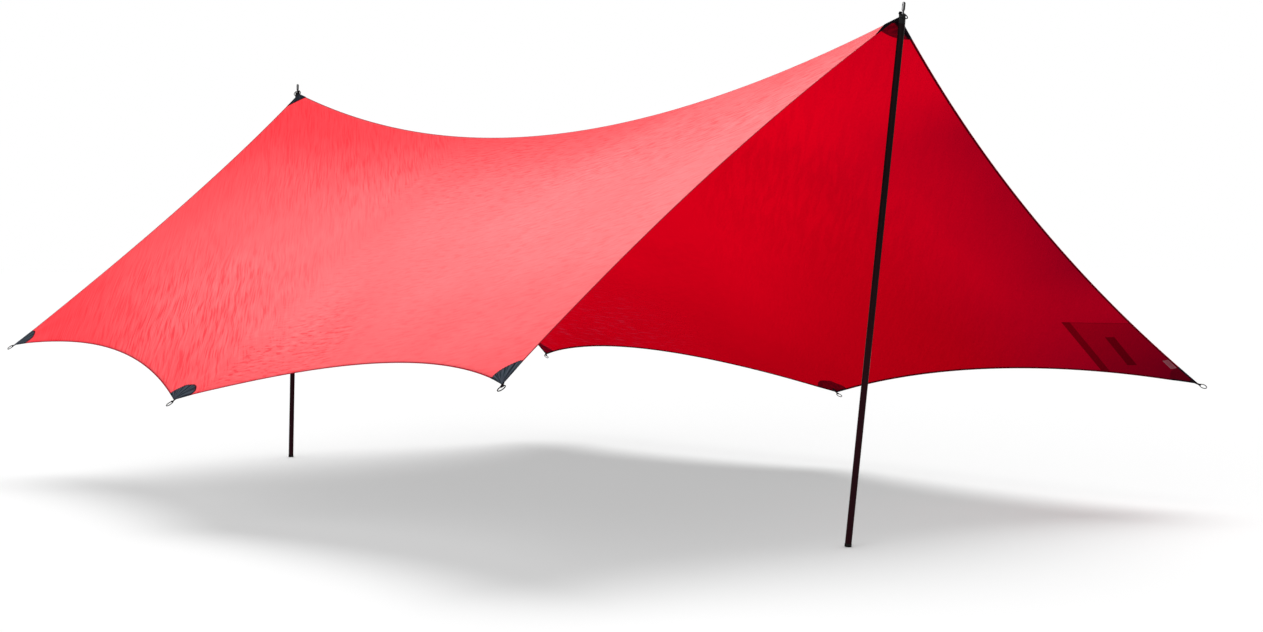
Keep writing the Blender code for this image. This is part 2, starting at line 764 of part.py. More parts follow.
# Poles: each is built upright in its own frame and leans with its empty.
def pole(side, foot_point, peak_point, outward_sign):
    top_point = peak_point + np.array((outward_sign * tip_inset, 0.0, cap_rise_over_peak))
    reach = top_point - foot_point
    lean = math.acos(reach[2] / np.linalg.norm(reach))
    foot_rise = foot_diameter / 2 * math.sin(lean)
    base_point = foot_point + np.array((0.0, 0.0, foot_rise))
    axis = unit(top_point - base_point)
    length = float(np.linalg.norm(top_point - base_point))
    across = unit(np.cross(axis, np.array((1.0, 0.0, 0.0))))
    x_axis = np.cross(across, axis)
    base = frame_matrix(base_point, x_axis, across, axis)
    radius = pole_diameter / 2
    bore = radius - tube_wall
    tube_bottom = foot_height + joint_gap
    tube_top = length - cap_height - joint_gap
    section = (tube_top - tube_bottom - (section_count - 1) * joint_gap) / section_count

    turned(
        f"foot_{side}",
        [
            (0.0, foot_height + foot_plug),
            (bore - fit_gap - 0.001, foot_height + foot_plug),
            (bore - fit_gap, foot_height + foot_plug - 0.002),
            (bore - fit_gap, foot_height),
            (foot_diameter / 2 - 0.0005, foot_height),
            (foot_diameter / 2, foot_height - 0.0015),
            (foot_diameter / 2, 0.0015),
            (foot_diameter / 2 - 0.001, 0.0),
            (0.0, 0.0),
        ],
        rubber_black, 0.0, 0.85, base,
    )
    heights = []
    for k in range(section_count):
        low = tube_bottom + k * (section + joint_gap)
        heights.append((low, low + section))
    for tube_name, (low, high) in zip(("lower_tube", "middle_tube", "upper_tube"), heights):
        turned(
            f"{tube_name}_{side}",
            [(radius, high), (radius, low), (bore, low), (bore, high)],
            pole_black, 0.8, 0.4, base, closed=True,
        )
    ferrule_outer = bore - fit_gap
    ferrule_bore = ferrule_outer - ferrule_wall
    for ferrule_name, joint_height in (
        ("lower_ferrule", heights[0][1] + joint_gap / 2),
        ("upper_ferrule", heights[1][1] + joint_gap / 2),
    ):
        high = joint_height + ferrule_length / 2
        low = joint_height - ferrule_length / 2
        turned(
            f"{ferrule_name}_{side}",
            [
                (ferrule_outer - 0.0005, high),
                (ferrule_outer, high - 0.001),
                (ferrule_outer, low + 0.001),
                (ferrule_outer - 0.0005, low),
                (ferrule_bore, low),
                (ferrule_bore, high),
            ],
            steel_grey, 1.0, 0.4, base, closed=True,
        )
    cap_bottom = length - cap_height
    hole = spigot_neck_diameter / 2 + fit_gap
    turned(
        f"top_cap_{side}",
        [
            (hole, length),
            (cap_top_diameter / 2 - 0.001, length),
            (cap_top_diameter / 2, length - 0.001),
            (radius, cap_bottom + 0.004),
            (radius, cap_bottom),
            (bore - fit_gap, cap_bottom),
            (bore - fit_gap, cap_bottom - cap_plug + 0.002),
            (bore - fit_gap - 0.001, cap_bottom - cap_plug),
            (0.0, cap_bottom - cap_plug),
            (0.0, length - spigot_shank - fit_gap),
            (hole, length - spigot_shank - fit_gap),
            (hole, length),
        ][:-1],
        webbing_black, 0.0, 0.5, base, closed=True,
    )
    neck = spigot_neck_diameter / 2
    head = spigot_head_diameter / 2
    top = length + spigot_rise
    spigot = turned(
        f"spigot_{side}",
        [
            (0.0, top),
            (head * 0.38, top - 0.0005),
            (head * 0.71, top - 0.0018),
            (head * 0.92, top - 0.0038),
            (head, top - head),
            (head, length + spigot_neck_length + 0.002),
            (neck, length + spigot_neck_length),
            (neck, length - spigot_shank),
            (0.0, length - spigot_shank),
        ],
        steel_grey, 1.0, 0.3, base,
    )
    bpy.ops.mesh.primitive_cylinder_add(
        vertices=12, radius=spigot_hole_diameter / 2, depth=spigot_head_diameter * 2
    )
    drill = bpy.context.object
    drill_mesh = drill.data
    bpy.data.objects.remove(drill, do_unlink=True)
    drill_mesh.transform(Matrix.Rotation(math.pi / 2, 4, "X"))
    drill_mesh.transform(Matrix.Translation((0.0, 0.0, length + spigot_hole_rise)))
    tool = cutter(f"spigot_drill_{side}", drill_mesh, base)
    cut = spigot.modifiers.new("hole", "BOOLEAN")
    cut.operation = "DIFFERENCE"
    cut.solver = "EXACT"
    cut.object = tool

    # Peak loop in the plane of the ridge: tail under the cloth, rising past the cap to its eye.
    side_lean = axis[0] / axis[2] * outward_sign
    ridge_slope = 2 * ridge_sag * 2 / abs(peak_right_point[0] - peak_left_point[0])
    head_play = 0.0008
    eye_radius = peak_hole + webbing_layer
    eye_x = side_lean * peak_eye_rise - (head + head_play + eye_radius)
    side_gap = layer_gap + webbing_thickness / 2

    def beside_cap(height):
        share = (-height - 0.001) / (cap_height - 0.005)
        cap_radius = cap_top_diameter / 2 + (radius - cap_top_diameter / 2) * share
        return side_lean * height - cap_radius - side_gap

    tail_start = (-tip_inset - 0.001, -0.0165)
    path = [
        (tail_start[0] - webbing_tail, tail_start[1] - webbing_tail * ridge_slope),
        tail_start,
        (beside_cap(-0.0135), -0.0135),
        (beside_cap(-0.0010), -0.0010),
        (eye_x, peak_eye_rise),
    ]
    out = np.array((float(outward_sign), 0.0, 0.0))
    up = np.array((0.0, 0.0, 1.0))
    loop_base = frame_matrix(top_point, out, up, np.cross(out, up))
    webbing_loop(f"peak_loop_{side}", path, peak_webbing_width, peak_hole, loop_base)
    eye = top_point + out * eye_x + up * peak_eye_rise
    heading = out * math.cos(peak_ring_drop) - up * math.sin(peak_ring_drop)
    hinge = np.cross(up, out)
    ring(f"peak_ring_{side}", peak_ring_radius, peak_wire_radius, peak_bow, eye, heading, hinge)
    joints[f"peak_ring_{side}"] = (eye, hinge, heading, np.cross(heading, hinge), top_point)
    joints[f"pole_{side}"] = (base_point, axis, length, heights, x_axis)


pole("left", left_foot_point, peak_left_point, -1)
pole("right", right_foot_point, peak_right_point, 1)
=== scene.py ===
import json
import math

import bpy
import numpy as np
from mathutils import Matrix, Vector

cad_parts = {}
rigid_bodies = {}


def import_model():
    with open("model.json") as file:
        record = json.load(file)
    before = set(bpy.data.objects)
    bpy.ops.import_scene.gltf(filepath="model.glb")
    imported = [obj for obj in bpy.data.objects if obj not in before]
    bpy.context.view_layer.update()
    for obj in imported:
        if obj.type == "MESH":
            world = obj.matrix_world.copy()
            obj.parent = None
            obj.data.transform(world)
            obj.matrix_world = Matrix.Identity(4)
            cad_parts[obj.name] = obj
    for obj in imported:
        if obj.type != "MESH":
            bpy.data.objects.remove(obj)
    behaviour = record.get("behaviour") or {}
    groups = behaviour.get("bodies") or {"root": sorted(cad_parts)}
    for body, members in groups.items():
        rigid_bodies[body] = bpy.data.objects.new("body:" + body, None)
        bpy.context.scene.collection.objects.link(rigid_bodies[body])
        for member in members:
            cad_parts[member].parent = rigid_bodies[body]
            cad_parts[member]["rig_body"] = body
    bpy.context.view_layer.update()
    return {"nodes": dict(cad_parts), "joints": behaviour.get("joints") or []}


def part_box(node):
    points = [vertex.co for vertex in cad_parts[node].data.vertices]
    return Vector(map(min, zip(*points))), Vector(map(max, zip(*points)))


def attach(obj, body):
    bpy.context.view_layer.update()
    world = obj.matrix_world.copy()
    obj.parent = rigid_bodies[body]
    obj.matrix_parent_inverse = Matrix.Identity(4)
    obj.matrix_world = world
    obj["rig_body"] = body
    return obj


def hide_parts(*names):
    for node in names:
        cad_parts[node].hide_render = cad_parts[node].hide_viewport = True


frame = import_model()


# Camera, floor and light

scene = bpy.context.scene
scene.view_settings.view_transform = "Standard"

viewpoint = {"place": (7.2938, -5.3218, 1.0868), "yaw": 141.384, "pitch": -1.742, "lens": 56.85}


def addCamera(values):
    # The camera looks along yaw and pitch, upright, with no shift.
    yaw, pitch = math.radians(values["yaw"]), math.radians(values["pitch"])
    ahead = Vector((math.cos(pitch) * math.cos(yaw), math.cos(pitch) * math.sin(yaw), math.sin(pitch)))
    right = ahead.cross(Vector((0, 0, 1))).normalized()
    up = right.cross(ahead)
    camera = bpy.data.objects.new("photoCamera", bpy.data.cameras.new("photoCamera"))
    scene.collection.objects.link(camera)
    camera.data.lens = values["lens"]
    camera.data.sensor_width = 36.0
    camera.data.sensor_fit = "HORIZONTAL"
    camera.data.clip_end = 300.0
    turn = Matrix((right, up, -ahead)).transposed().to_4x4()
    camera.matrix_world = Matrix.Translation(values["place"]) @ turn
    scene.camera = camera


light = {
    "sky": 0.465,         # what the sky gives a matt surface; lenses and metal see it white
    # makes the shadow under the cloth
    "overhead": 1.38, "overheadAngle": 50, "overheadFrom": (0.20, -0.12, -1.0),
    # softens the shadow's far side
    "front": 0.90, "frontAngle": 50, "frontFrom": (-0.30, 0.85, -0.52),
    # level light that reaches under the cloth
    "low": 0.45, "lowAngle": 24, "lowFrom": (-0.78, 0.62, 0.0),
    "floorWhite": 0.97,
    "floorHalf": 120.0,
}


def addSky(values):
    world = bpy.data.worlds.new("sky")
    scene.world = world
    world.use_nodes = True
    world.cycles.sampling_method = "NONE"
    tree = world.node_tree
    background = tree.nodes["Background"]
    background.inputs["Color"].default_value = (1, 1, 1, 1)
    path = tree.nodes.new("ShaderNodeLightPath")
    seen = path.outputs["Is Camera Ray"]
    for ray in ("Is Glossy Ray", "Is Transmission Ray"):
        either = tree.nodes.new("ShaderNodeMath")
        either.operation = "MAXIMUM"
        tree.links.new(seen, either.inputs[0])
        tree.links.new(path.outputs[ray], either.inputs[1])
        seen = either.outputs[0]
    strength = tree.nodes.new("ShaderNodeMapRange")
    strength.inputs["To Min"].default_value = values["sky"]
    strength.inputs["To Max"].default_value = 1.0
    tree.links.new(seen, strength.inputs["Value"])
    tree.links.new(strength.outputs["Result"], background.inputs["Strength"])


def addLamp(name, strength, angle, direction):
    lamp = bpy.data.lights.new(name, "SUN")
    lamp.energy = strength
    lamp.angle = math.radians(angle)
    holder = bpy.data.objects.new(name, lamp)
    scene.collection.objects.link(holder)
    holder.rotation_euler = Vector(direction).to_track_quat("-Z", "Y").to_euler()


def addFloor(values):
    half = values["floorHalf"]
    mesh = bpy.data.meshes.new("floor")
    mesh.from_pydata(
        [(-half, -half, 0), (half, -half, 0), (half, half, 0), (-half, half, 0)], [], [(0, 1, 2, 3)]
    )
    floor = bpy.data.objects.new("floor", mesh)
    floor.location.z = -0.0002
    scene.collection.objects.link(floor)
    plain = bpy.data.materials.new("floorWhite")
    plain.use_nodes = True
    shader = plain.node_tree.nodes["Principled BSDF"]
    shader.inputs["Base Color"].default_value = (values["floorWhite"],) * 3 + (1,)
    shader.inputs["Roughness"].default_value = 1.0
    shader.inputs["Specular IOR Level"].default_value = 0.0
    mesh.materials.append(plain)


addCamera(viewpoint)
addSky(light)
for name in ("overhead", "front", "low"):
    addLamp(name, light[name], light[name + "Angle"], light[name + "From"])
addFloor(light)
print("camera, sky and floor made")


# Meshes

def unit(v):
    return v / np.linalg.norm(v, axis=-1, keepdims=True)


def gridQuads(rows, columns, closedRows=False, closedColumns=False):
    # Point (r, c) of the grid is number r * columns + c.
    r = np.arange(rows if closedRows else rows - 1)[:, None]
    c = np.arange(columns if closedColumns else columns - 1)[None, :]
    r2, c2 = (r + 1) % rows, (c + 1) % columns
    return np.stack(
        (r * columns + c, r2 * columns + c, r2 * columns + c2, r * columns + c2), -1
    ).reshape(-1, 4)


def volumeOf(points, faces):
    # Signed volume under fans of triangles; below zero where the faces point inwards.
    total = 0.0
    for part in faces:
        for k in range(1, part.shape[1] - 1):
            a, b, c = points[part[:, 0]], points[part[:, k]], points[part[:, k + 1]]
            total += np.einsum("ij,ij->i", a, np.cross(b, c)).sum()
    return total / 6


def putMesh(name, points, faces, uvMaps=None, materialIndex=None):
    # faces is a list of whole arrays, each with its own number of corners.
    points = np.ascontiguousarray(points, dtype=np.float64).reshape(-1, 3)
    middle = points.mean(0)
    if volumeOf(points - middle, faces) < 0:
        faces = [part[:, ::-1] for part in faces]
    mesh = bpy.data.meshes.new(name)
    corners = np.concatenate([part.ravel() for part in faces]).astype(np.int32)
    sizes = np.concatenate([np.full(len(part), part.shape[1]) for part in faces])
    mesh.vertices.add(len(points))
    mesh.vertices.foreach_set("co", points.astype(np.float32).ravel())
    mesh.loops.add(len(corners))
    mesh.loops.foreach_set("vertex_index", corners)
    mesh.polygons.add(len(sizes))
    starts = np.concatenate(([0], np.cumsum(sizes)[:-1])).astype(np.int32)
    mesh.polygons.foreach_set("loop_start", starts)
    mesh.polygons.foreach_set("use_smooth", np.full(len(sizes), True))
    if materialIndex is not None:
        mesh.polygons.foreach_set("material_index", np.concatenate(materialIndex).astype(np.int32))
    mesh.update(calc_edges=True)
    for title, values in (uvMaps or {}).items():
        layer = mesh.uv_layers.new(name=title)
        layer.data.foreach_set("uv", values.reshape(-1, 2)[corners].astype(np.float32).ravel())
    piece = bpy.data.objects.new(name, mesh)
    scene.collection.objects.link(piece)
    return piece


def borderOf(rows, columns):
    # Numbers of the points round the edge of a grid, in order.
    top = np.arange(columns)
    right = np.arange(1, rows) * columns + columns - 1
    bottom = (rows - 1) * columns + np.arange(columns - 2, -1, -1)
    left = np.arange(rows - 2, 0, -1) * columns
    return np.concatenate((top, right, bottom, left))


def putShell(name, base, normals, lift, thickness, uvMaps=None, inner=0):
    # A closed thin layer: the grid raised by lift, and again by lift + thickness, with a rim between.
    rows, columns = base.shape[:2]
    lift = np.asarray(lift, dtype=float)
    if lift.ndim == 2:
        lift = lift[..., None]
    low = (base + normals * lift).reshape(-1, 3)
    high = (base + normals * (lift + thickness)).reshape(-1, 3)
    count = rows * columns
    quads = gridQuads(rows, columns)
    border = borderOf(rows, columns)
    after = np.roll(border, -1)
    rim = np.stack((border, after, after + count, border + count), -1)
    upper = np.roll(quads[:, ::-1], 1, axis=1) + count      # turned over, and split along the same diagonal
    maps = {
        title: np.concatenate((v.reshape(-1, 2), v.reshape(-1, 2))) for title, v in (uvMaps or {}).items()
    }
    index = [np.full(len(quads), 0), np.full(len(quads), inner), np.full(len(rim), 0)]
    return putMesh(name, np.concatenate((low, high)), [upper, quads, rim], maps, index)


def spreadOf(points):
    # Area of a grid, as the sum of its cells.
    return float(
        np.linalg.norm(
            np.cross(points[1:, :-1] - points[:-1, :-1], points[:-1, 1:] - points[:-1, :-1]), axis=-1
        ).sum()
    )


def dress(piece, body, slot, *finishes):
    for finish in finishes:
        piece.data.materials.append(finish)
    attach(piece, body)
    return piece


# Node helpers

def startMaterial(name, metallic=0.0, roughness=0.6, specular=0.5, ior=1.5):
    made = bpy.data.materials.new(name)
    made.use_nodes = True
    tree = made.node_tree
    shader = tree.nodes["Principled BSDF"]
    shader.inputs["Metallic"].default_value = metallic
    shader.inputs["Roughness"].default_value = roughness
    shader.inputs["Specular IOR Level"].default_value = specular
    shader.inputs["IOR"].default_value = ior
    return made, tree, shader


def feed(tree, socket, value):
    if hasattr(value, "links"):
        tree.links.new(value, socket)
    elif isinstance(value, (tuple, list)) and len(value) == 3 and socket.type == "RGBA":
        socket.default_value = (*value, 1)
    else:
        socket.default_value = value


def sums(tree, operation, first, second=0.0, third=0.0):
    node = tree.nodes.new("ShaderNodeMath")
    node.operation = operation
    feed(tree, node.inputs[0], first)
    feed(tree, node.inputs[1], second)
    feed(tree, node.inputs[2], third)
    return node.outputs[0]


def ramp(tree, value, low, high, toLow=0.0, toHigh=1.0):
    node = tree.nodes.new("ShaderNodeMapRange")
    node.interpolation_type = "SMOOTHSTEP"
    feed(tree, node.inputs["Value"], value)
    for title, amount in (("From Min", low), ("From Max", high), ("To Min", toLow), ("To Max", toHigh)):
        node.inputs[title].default_value = amount
    return node.outputs["Result"]


def blendColour(tree, share, first, second):
    node = tree.nodes.new("ShaderNodeMix")
    node.data_type = "RGBA"
    feed(tree, node.inputs["Factor"], share)
    feed(tree, node.inputs[6], first)
    feed(tree, node.inputs[7], second)
    return node.outputs[2]


def vectorOf(tree, x=0.0, y=0.0, z=0.0):
    node = tree.nodes.new("ShaderNodeCombineXYZ")
    for socket, value in zip(node.inputs, (x, y, z)):
        feed(tree, socket, value)
    return node.outputs[0]


def partsOf(tree, vector):
    node = tree.nodes.new("ShaderNodeSeparateXYZ")
    tree.links.new(vector, node.inputs[0])
    return node.outputs[0], node.outputs[1], node.outputs[2]


def noiseOf(tree, vector, scale=1.0, detail=2.0, rough=0.5):
    node = tree.nodes.new("ShaderNodeTexNoise")
    tree.links.new(vector, node.inputs["Vector"])
    node.inputs["Scale"].default_value = scale
    node.inputs["Detail"].default_value = detail
    node.inputs["Roughness"].default_value = rough
    return node.outputs["Fac"]


def uvOf(tree, title):
    node = tree.nodes.new("ShaderNodeUVMap")
    node.uv_map = title
    return node.outputs[0]


def placeOf(tree):
    return tree.nodes.new("ShaderNodeTexCoord").outputs["Object"]


def stretched(tree, vector, scale):
    node = tree.nodes.new("ShaderNodeMapping")
    tree.links.new(vector, node.inputs["Vector"])
    node.inputs["Scale"].default_value = scale
    return node.outputs[0]


def relief(tree, shader, height, distance):
    node = tree.nodes.new("ShaderNodeBump")
    node.inputs["Strength"].default_value = 1.0
    node.inputs["Distance"].default_value = distance
    tree.links.new(height, node.inputs["Height"])
    tree.links.new(node.outputs[0], shader.inputs["Normal"])


def dashes(tree, along, across, lineAt, pitch, width):
    # 1 on the threads of a straight stitch line that runs at lineAt, 0 beside them.
    share = 0.62      # of each pitch that is thread
    off = sums(tree, "ABSOLUTE", sums(tree, "SUBTRACT", across, lineAt))
    onLine = ramp(tree, off, width * 0.35, width * 0.65, 1.0, 0.0)
    beat = sums(tree, "FRACT", sums(tree, "DIVIDE", along, pitch))
    fromMiddle = sums(tree, "ABSOLUTE", sums(tree, "SUBTRACT", beat, 0.5))
    return sums(
        tree, "MULTIPLY", onLine, ramp(tree, fromMiddle, share / 2 - 0.08, share / 2 + 0.08, 1.0, 0.0)
    )


# The pitched cloth: eight hollow edges, a sagging ridge, and a surface at rest between them

planShift = np.array((-0.0335, 0.0100, 0.0))
tiePoints = {
    "peakLeft": (-2.222, 0.0, 1.957),
    "peakRight": (2.222, 0.0, 1.957),
    "nearLeft": (-2.120, -1.629, 0.651),
    "nearMiddle": (0.046, -1.832, 0.516),
    "nearRight": (2.223, -1.771, 0.684),
    "farRight": (2.288, 1.732, 0.549),
    "farMiddle": (0.058, 1.813, 0.390),
    "farLeft": (-2.164, 1.605, 0.503),
}
tiePoints = {title: np.array(point) + planShift for title, point in tiePoints.items()}

canopy = {
    "columns": 260,        # cells along the ridge
    "rows": 90,            # cells from the ridge to a hem
    "cloth": 0.0005,
    "ridgeSag": 0.328, "ridgeLean": 0.476,
    "hollows": {           # sag and lean of each free edge
        "leftNear": (0.100, 0.446), "leftFar": (0.105, 0.460),
        "rightNear": (0.132, 0.414), "rightFar": (0.132, 0.526),
        "nearLeftBay": (0.156, 0.436), "nearRightBay": (0.181, 0.591),
        "farLeftBay": (0.209, 0.429), "farRightBay": (0.164, 0.569),
    },
    "settleTurns": 420,
    "foldDepth": 0.0022,   # soft folds that fan out of each hem tie-out
    "foldReach": 0.42,
}


def hollowCurve(start, end, toward, sag, lean, steps):
    # Quadratic curve whose handle lies at lean of the chord, pulled out by twice the sag.
    middle = (start + end) / 2
    run = unit(end - start)
    pull = toward - middle
    pull = unit(pull - (pull @ run) * run)
    handle = start + (end - start) * lean + 2 * sag * pull
    t = np.linspace(0.0, 1.0, steps + 1)[:, None]
    return (1 - t) ** 2 * start + 2 * t * (1 - t) * handle + t**2 * end


def settledPanel(ridge, hem, left, right, turns):
    # Each inner point comes to rest at the weighted middle of its four neighbours
    # (red-black, over-relaxed).
    columns, rows = len(ridge), len(left)
    s = np.linspace(0, 1, columns)[:, None, None]
    t = np.linspace(0, 1, rows)[None, :, None]
    net = (
        (1 - t) * ridge[:, None] + t * hem[:, None] + (1 - s) * left[None] + s * right[None]
        - (1 - s) * (1 - t) * ridge[0] - s * (1 - t) * ridge[-1] - (1 - s) * t * hem[0] - s * t * hem[-1]
    )
    alongStep = np.linalg.norm(ridge[-1] - ridge[0]) / (columns - 1)
    acrossStep = np.linalg.norm(left[-1] - left[0]) / (rows - 1)
    pull = (acrossStep / alongStep) ** 2
    i, j = np.meshgrid(np.arange(1, columns - 1), np.arange(1, rows - 1), indexing="ij")
    odd = ((i + j) % 2 == 0)[..., None]
    over = 2 / (1 + math.sin(math.pi / rows))
    for _ in range(turns):
        for mask in (odd, ~odd):
            rest = (
                pull * (net[2:, 1:-1] + net[:-2, 1:-1]) + net[1:-1, 2:] + net[1:-1, :-2]
            ) / (2 * pull + 2)
            net[1:-1, 1:-1] += np.where(mask, over * (rest - net[1:-1, 1:-1]), 0.0)
    return net


def buildCanopyNet(values, ties):
    half = values["columns"] // 2
    rows = values["rows"]
    ridgeMiddle = (ties["peakLeft"] + ties["peakRight"]) / 2 - np.array((0, 0, values["ridgeSag"]))

    def overRidge(x):
        f = (x - ties["peakLeft"][0]) / (ties["peakRight"][0] - ties["peakLeft"][0])
        drop = np.array((0.0, 0.0, values["ridgeSag"] * 4 * f * (1 - f)))
        return ties["peakLeft"] + (ties["peakRight"] - ties["peakLeft"]) * f - drop

    def bay(start, end, title):
        return hollowCurve(start, end, overRidge(((start + end) / 2)[0]), *values["hollows"][title], half)

    below = (ties["peakLeft"] + ties["peakRight"]) / 2 - np.array((0.0, 0.0, 1.0))
    ridge = hollowCurve(
        ties["peakLeft"], ties["peakRight"], below, values["ridgeSag"], values["ridgeLean"], half * 2
    )
    panels = []
    for side in ("near", "far"):
        hem = np.vstack((
            bay(ties[side + "Left"], ties[side + "Middle"], side + "LeftBay"),
            bay(ties[side + "Middle"], ties[side + "Right"], side + "RightBay")[1:],
        ))
        target = (ridgeMiddle + ties[side + "Middle"]) / 2
        title = side.capitalize()
        left = hollowCurve(
            ties["peakLeft"], ties[side + "Left"], target, *values["hollows"]["left" + title], rows
        )
        right = hollowCurve(
            ties["peakRight"], ties[side + "Right"], target, *values["hollows"]["right" + title], rows
        )
        panels.append(settledPanel(ridge, hem, left, right, values["settleTurns"]))
    near, far = panels
    return np.concatenate((near[:, ::-1], far[:, 1:]), axis=1)


def normalsOf(net):
    along = np.gradient(net, axis=0)
    across = np.gradient(net, axis=1)
    normal = unit(np.cross(along, across))
    return normal * np.sign(normal[..., 2:3].mean())


def lengthAlong(net, axis):
    # Running length of the grid lines, from the first point of each.
    steps = np.linalg.norm(np.diff(net, axis=axis), axis=-1)
    zero = np.zeros_like(np.take(steps, [0], axis=axis))
    return np.cumsum(np.concatenate((zero, steps), axis=axis), axis=axis)


net = buildCanopyNet(canopy, tiePoints)
lastColumn, lastRow = net.shape[0] - 1, net.shape[1] - 1
midColumn, ridgeRow = lastColumn // 2, lastRow // 2
netNormals = normalsOf(net)

hemSpots = {                # column and row of each tie-out on the grid
    "nearLeft": (0, 0), "nearMiddle": (midColumn, 0), "nearRight": (lastColumn, 0),
    "farLeft": (0, lastRow), "farMiddle": (midColumn, lastRow), "farRight": (lastColumn, lastRow),
    "peakLeft": (0, ridgeRow), "peakRight": (lastColumn, ridgeRow),
}


def tensionFolds(points, values):
    # Shallow folds along rays out of each hem tie-out: a cosine of the ray's angle,
    # gone at the tip and past foldReach.
    moved = np.zeros(points.shape[:2])
    for title, folds, seed in (("nearLeft", 7, 0.4), ("nearMiddle", 11, 1.3), ("nearRight", 7, 2.1),
                               ("farLeft", 7, 0.9), ("farMiddle", 11, 2.7), ("farRight", 7, 1.8)):
        i, j = hemSpots[title]
        tip = points[i, j]
        ray = points - tip
        far = np.linalg.norm(ray, axis=-1)
        inward = unit(points[min(max(i, 8), lastColumn - 8), 8 if j == 0 else lastRow - 8] - tip)
        acrossRay = unit(np.cross(netNormals[i, j], inward))
        angle = np.arctan2(ray @ acrossRay, ray @ inward)
        rise = np.clip(far / 0.12, 0, 1) ** 2 * np.exp(-(far / values["foldReach"]) ** 2 * 2.2)
        moved += rise * np.cos(angle * folds + seed + 0.6 * np.sin(angle * 3 + seed)) * values["foldDepth"]
    return points + netNormals * moved[..., None]


net = tensionFolds(net, canopy)
netNormals = normalsOf(net)
clothU = lengthAlong(net, 0)
clothU -= clothU[midColumn]
clothV = lengthAlong(net, 1)
clothV -= clothV[:, ridgeRow:ridgeRow + 1]
print("canopy at rest:", net.shape)


def onCloth(i, j):
    # Point and normal at fractional grid places, blended from the four nearest.
    i = np.clip(i, 0, lastColumn - 1e-6)
    j = np.clip(j, 0, lastRow - 1e-6)
    i0, j0 = np.floor(i).astype(int), np.floor(j).astype(int)
    fi, fj = (i - i0)[..., None], (j - j0)[..., None]

    def blended(table):
        near = table[i0, j0] * (1 - fi) + table[i0 + 1, j0] * fi
        far = table[i0, j0 + 1] * (1 - fi) + table[i0 + 1, j0 + 1] * fi
        return near * (1 - fj) + far * fj

    return blended(net), unit(blended(netNormals))


def edgeSteps(column, row, alongColumns, direction):
    # Grid steps against length for the grid line that leaves a point in one direction.
    line = net[:, row] if alongColumns else net[column]
    start = column if alongColumns else row
    line = line[start:] if direction > 0 else line[start::-1]
    length = np.concatenate(([0.0], np.cumsum(np.linalg.norm(np.diff(line, axis=0), axis=-1))))
    return length, np.arange(len(line)) * direction


def stepsFor(table, distance):
    return np.interp(distance, *table)


def fanOnCloth(spot, radius, share):
    # Rays out of a tie-out: share 0 runs along its first edge and share 1 along its last, radius in metres.
    i, j = hemSpots[spot]
    if spot.startswith("peak"):
        turn = 1 if i == 0 else -1
        a, b = radius * np.sin(share * math.pi), -radius * np.cos(share * math.pi)
        alongRidge = edgeSteps(i, j, True, turn)
        toFar, toNear = edgeSteps(i, j, False, 1), edgeSteps(i, j, False, -1)
        column = i + stepsFor(alongRidge, a)
        row = j + np.where(b >= 0, stepsFor(toFar, np.abs(b)), stepsFor(toNear, np.abs(b)))
        return column, row
    turn = 1 if j == 0 else -1
    toRidge = edgeSteps(i, j, False, turn)
    if i == midColumn:
        a, b = -radius * np.cos(share * math.pi), radius * np.sin(share * math.pi)
        right, left = edgeSteps(i, j, True, 1), edgeSteps(i, j, True, -1)
        column = i + np.where(a >= 0, stepsFor(right, np.abs(a)), stepsFor(left, np.abs(a)))
        return column, j + stepsFor(toRidge, b)
    side = 1 if i == 0 else -1
    alongHem = edgeSteps(i, j, True, side)
    first = unit(net[i + side * 3, j] - net[i, j])
    last = unit(net[i, j + turn * 3] - net[i, j])
    wide = math.acos(float(first @ last))
    a = radius * np.sin(wide * (1 - share)) / math.sin(wide)
    b = radius * np.sin(wide * share) / math.sin(wide)
    return i + stepsFor(alongHem, a), j + stepsFor(toRidge, b)


# Tie-out frames, and where things are sewn on the far right corner

def jointCalled(title):
    return next(j for j in frame["joints"] if j["name"] == title)


def middleOf(node):
    low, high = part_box(node)
    return np.array((low + high) / 2)


def ringFrame(node, joint):
    # Eye, middle, outward heading and hinge line of a ring.
    eye = np.array(jointCalled(joint)["pos_m"])
    hinge = unit(np.array(jointCalled(joint)["axis"], dtype=float))
    centre = middleOf(node)
    heading = unit(centre - eye)
    sideways = unit(hinge - (hinge @ heading) * heading)
    return eye, centre, heading, sideways


sewn = {                    # metres from the corner's tip: inwards, and to the side
    "pocketLift": 0.0009, "pocketThickness": 0.0005, "puff": 0.0035, "pocketDepthFromTip": 0.133,
    "mouthWidth": 0.027,
    "closureWidth": 0.050, "closureLength": 0.200, "stripLift": 0.0018, "stripThickness": 0.0008,
    "labelLength": 0.058, "labelWidth": 0.032, "labelThickness": 0.0003,
    "tapeInset": 0.070, "tapeHalf": 0.011, "tapeDrop": 0.0009, "tapeThickness": 0.0004,
    "layerGap": 0.0003, "edgeClear": 0.004, "pocketCut": (0.60, 0.52), "mouthCut": 0.028,
    "mouthTurned": 0.016,      # the bag's own turned edge lies under the strip and this much past it
    "mouthRun": (-0.698, -0.716), "mouthAcross": (0.716, -0.698), "topRun": (-0.753, 0.658),
    "mouthTop": (0.599, 0.024),
    "closureMiddle": (0.341, -0.016), "labelCorner": (0.156, 0.083), "labelRun": (-0.050, -0.035),
    "labelIn": (0.035, -0.050),
}

_, _, heading, sideways = ringFrame("corner_ring_far_right", "corner_ring_far_right_swing")
cornerTip = tiePoints["farRight"]
cornerUp = np.cross(heading, sideways)
cornerUp = cornerUp * np.sign(cornerUp[2])
cornerIn = -heading
cornerSide = unit(np.cross(cornerUp, cornerIn))
mouthRun, mouthAcross, topRun, mouthTop = (
    np.array(sewn[k]) for k in ("mouthRun", "mouthAcross", "topRun", "mouthTop")
)
mouthOuter = mouthTop + mouthAcross * sewn["mouthWidth"]


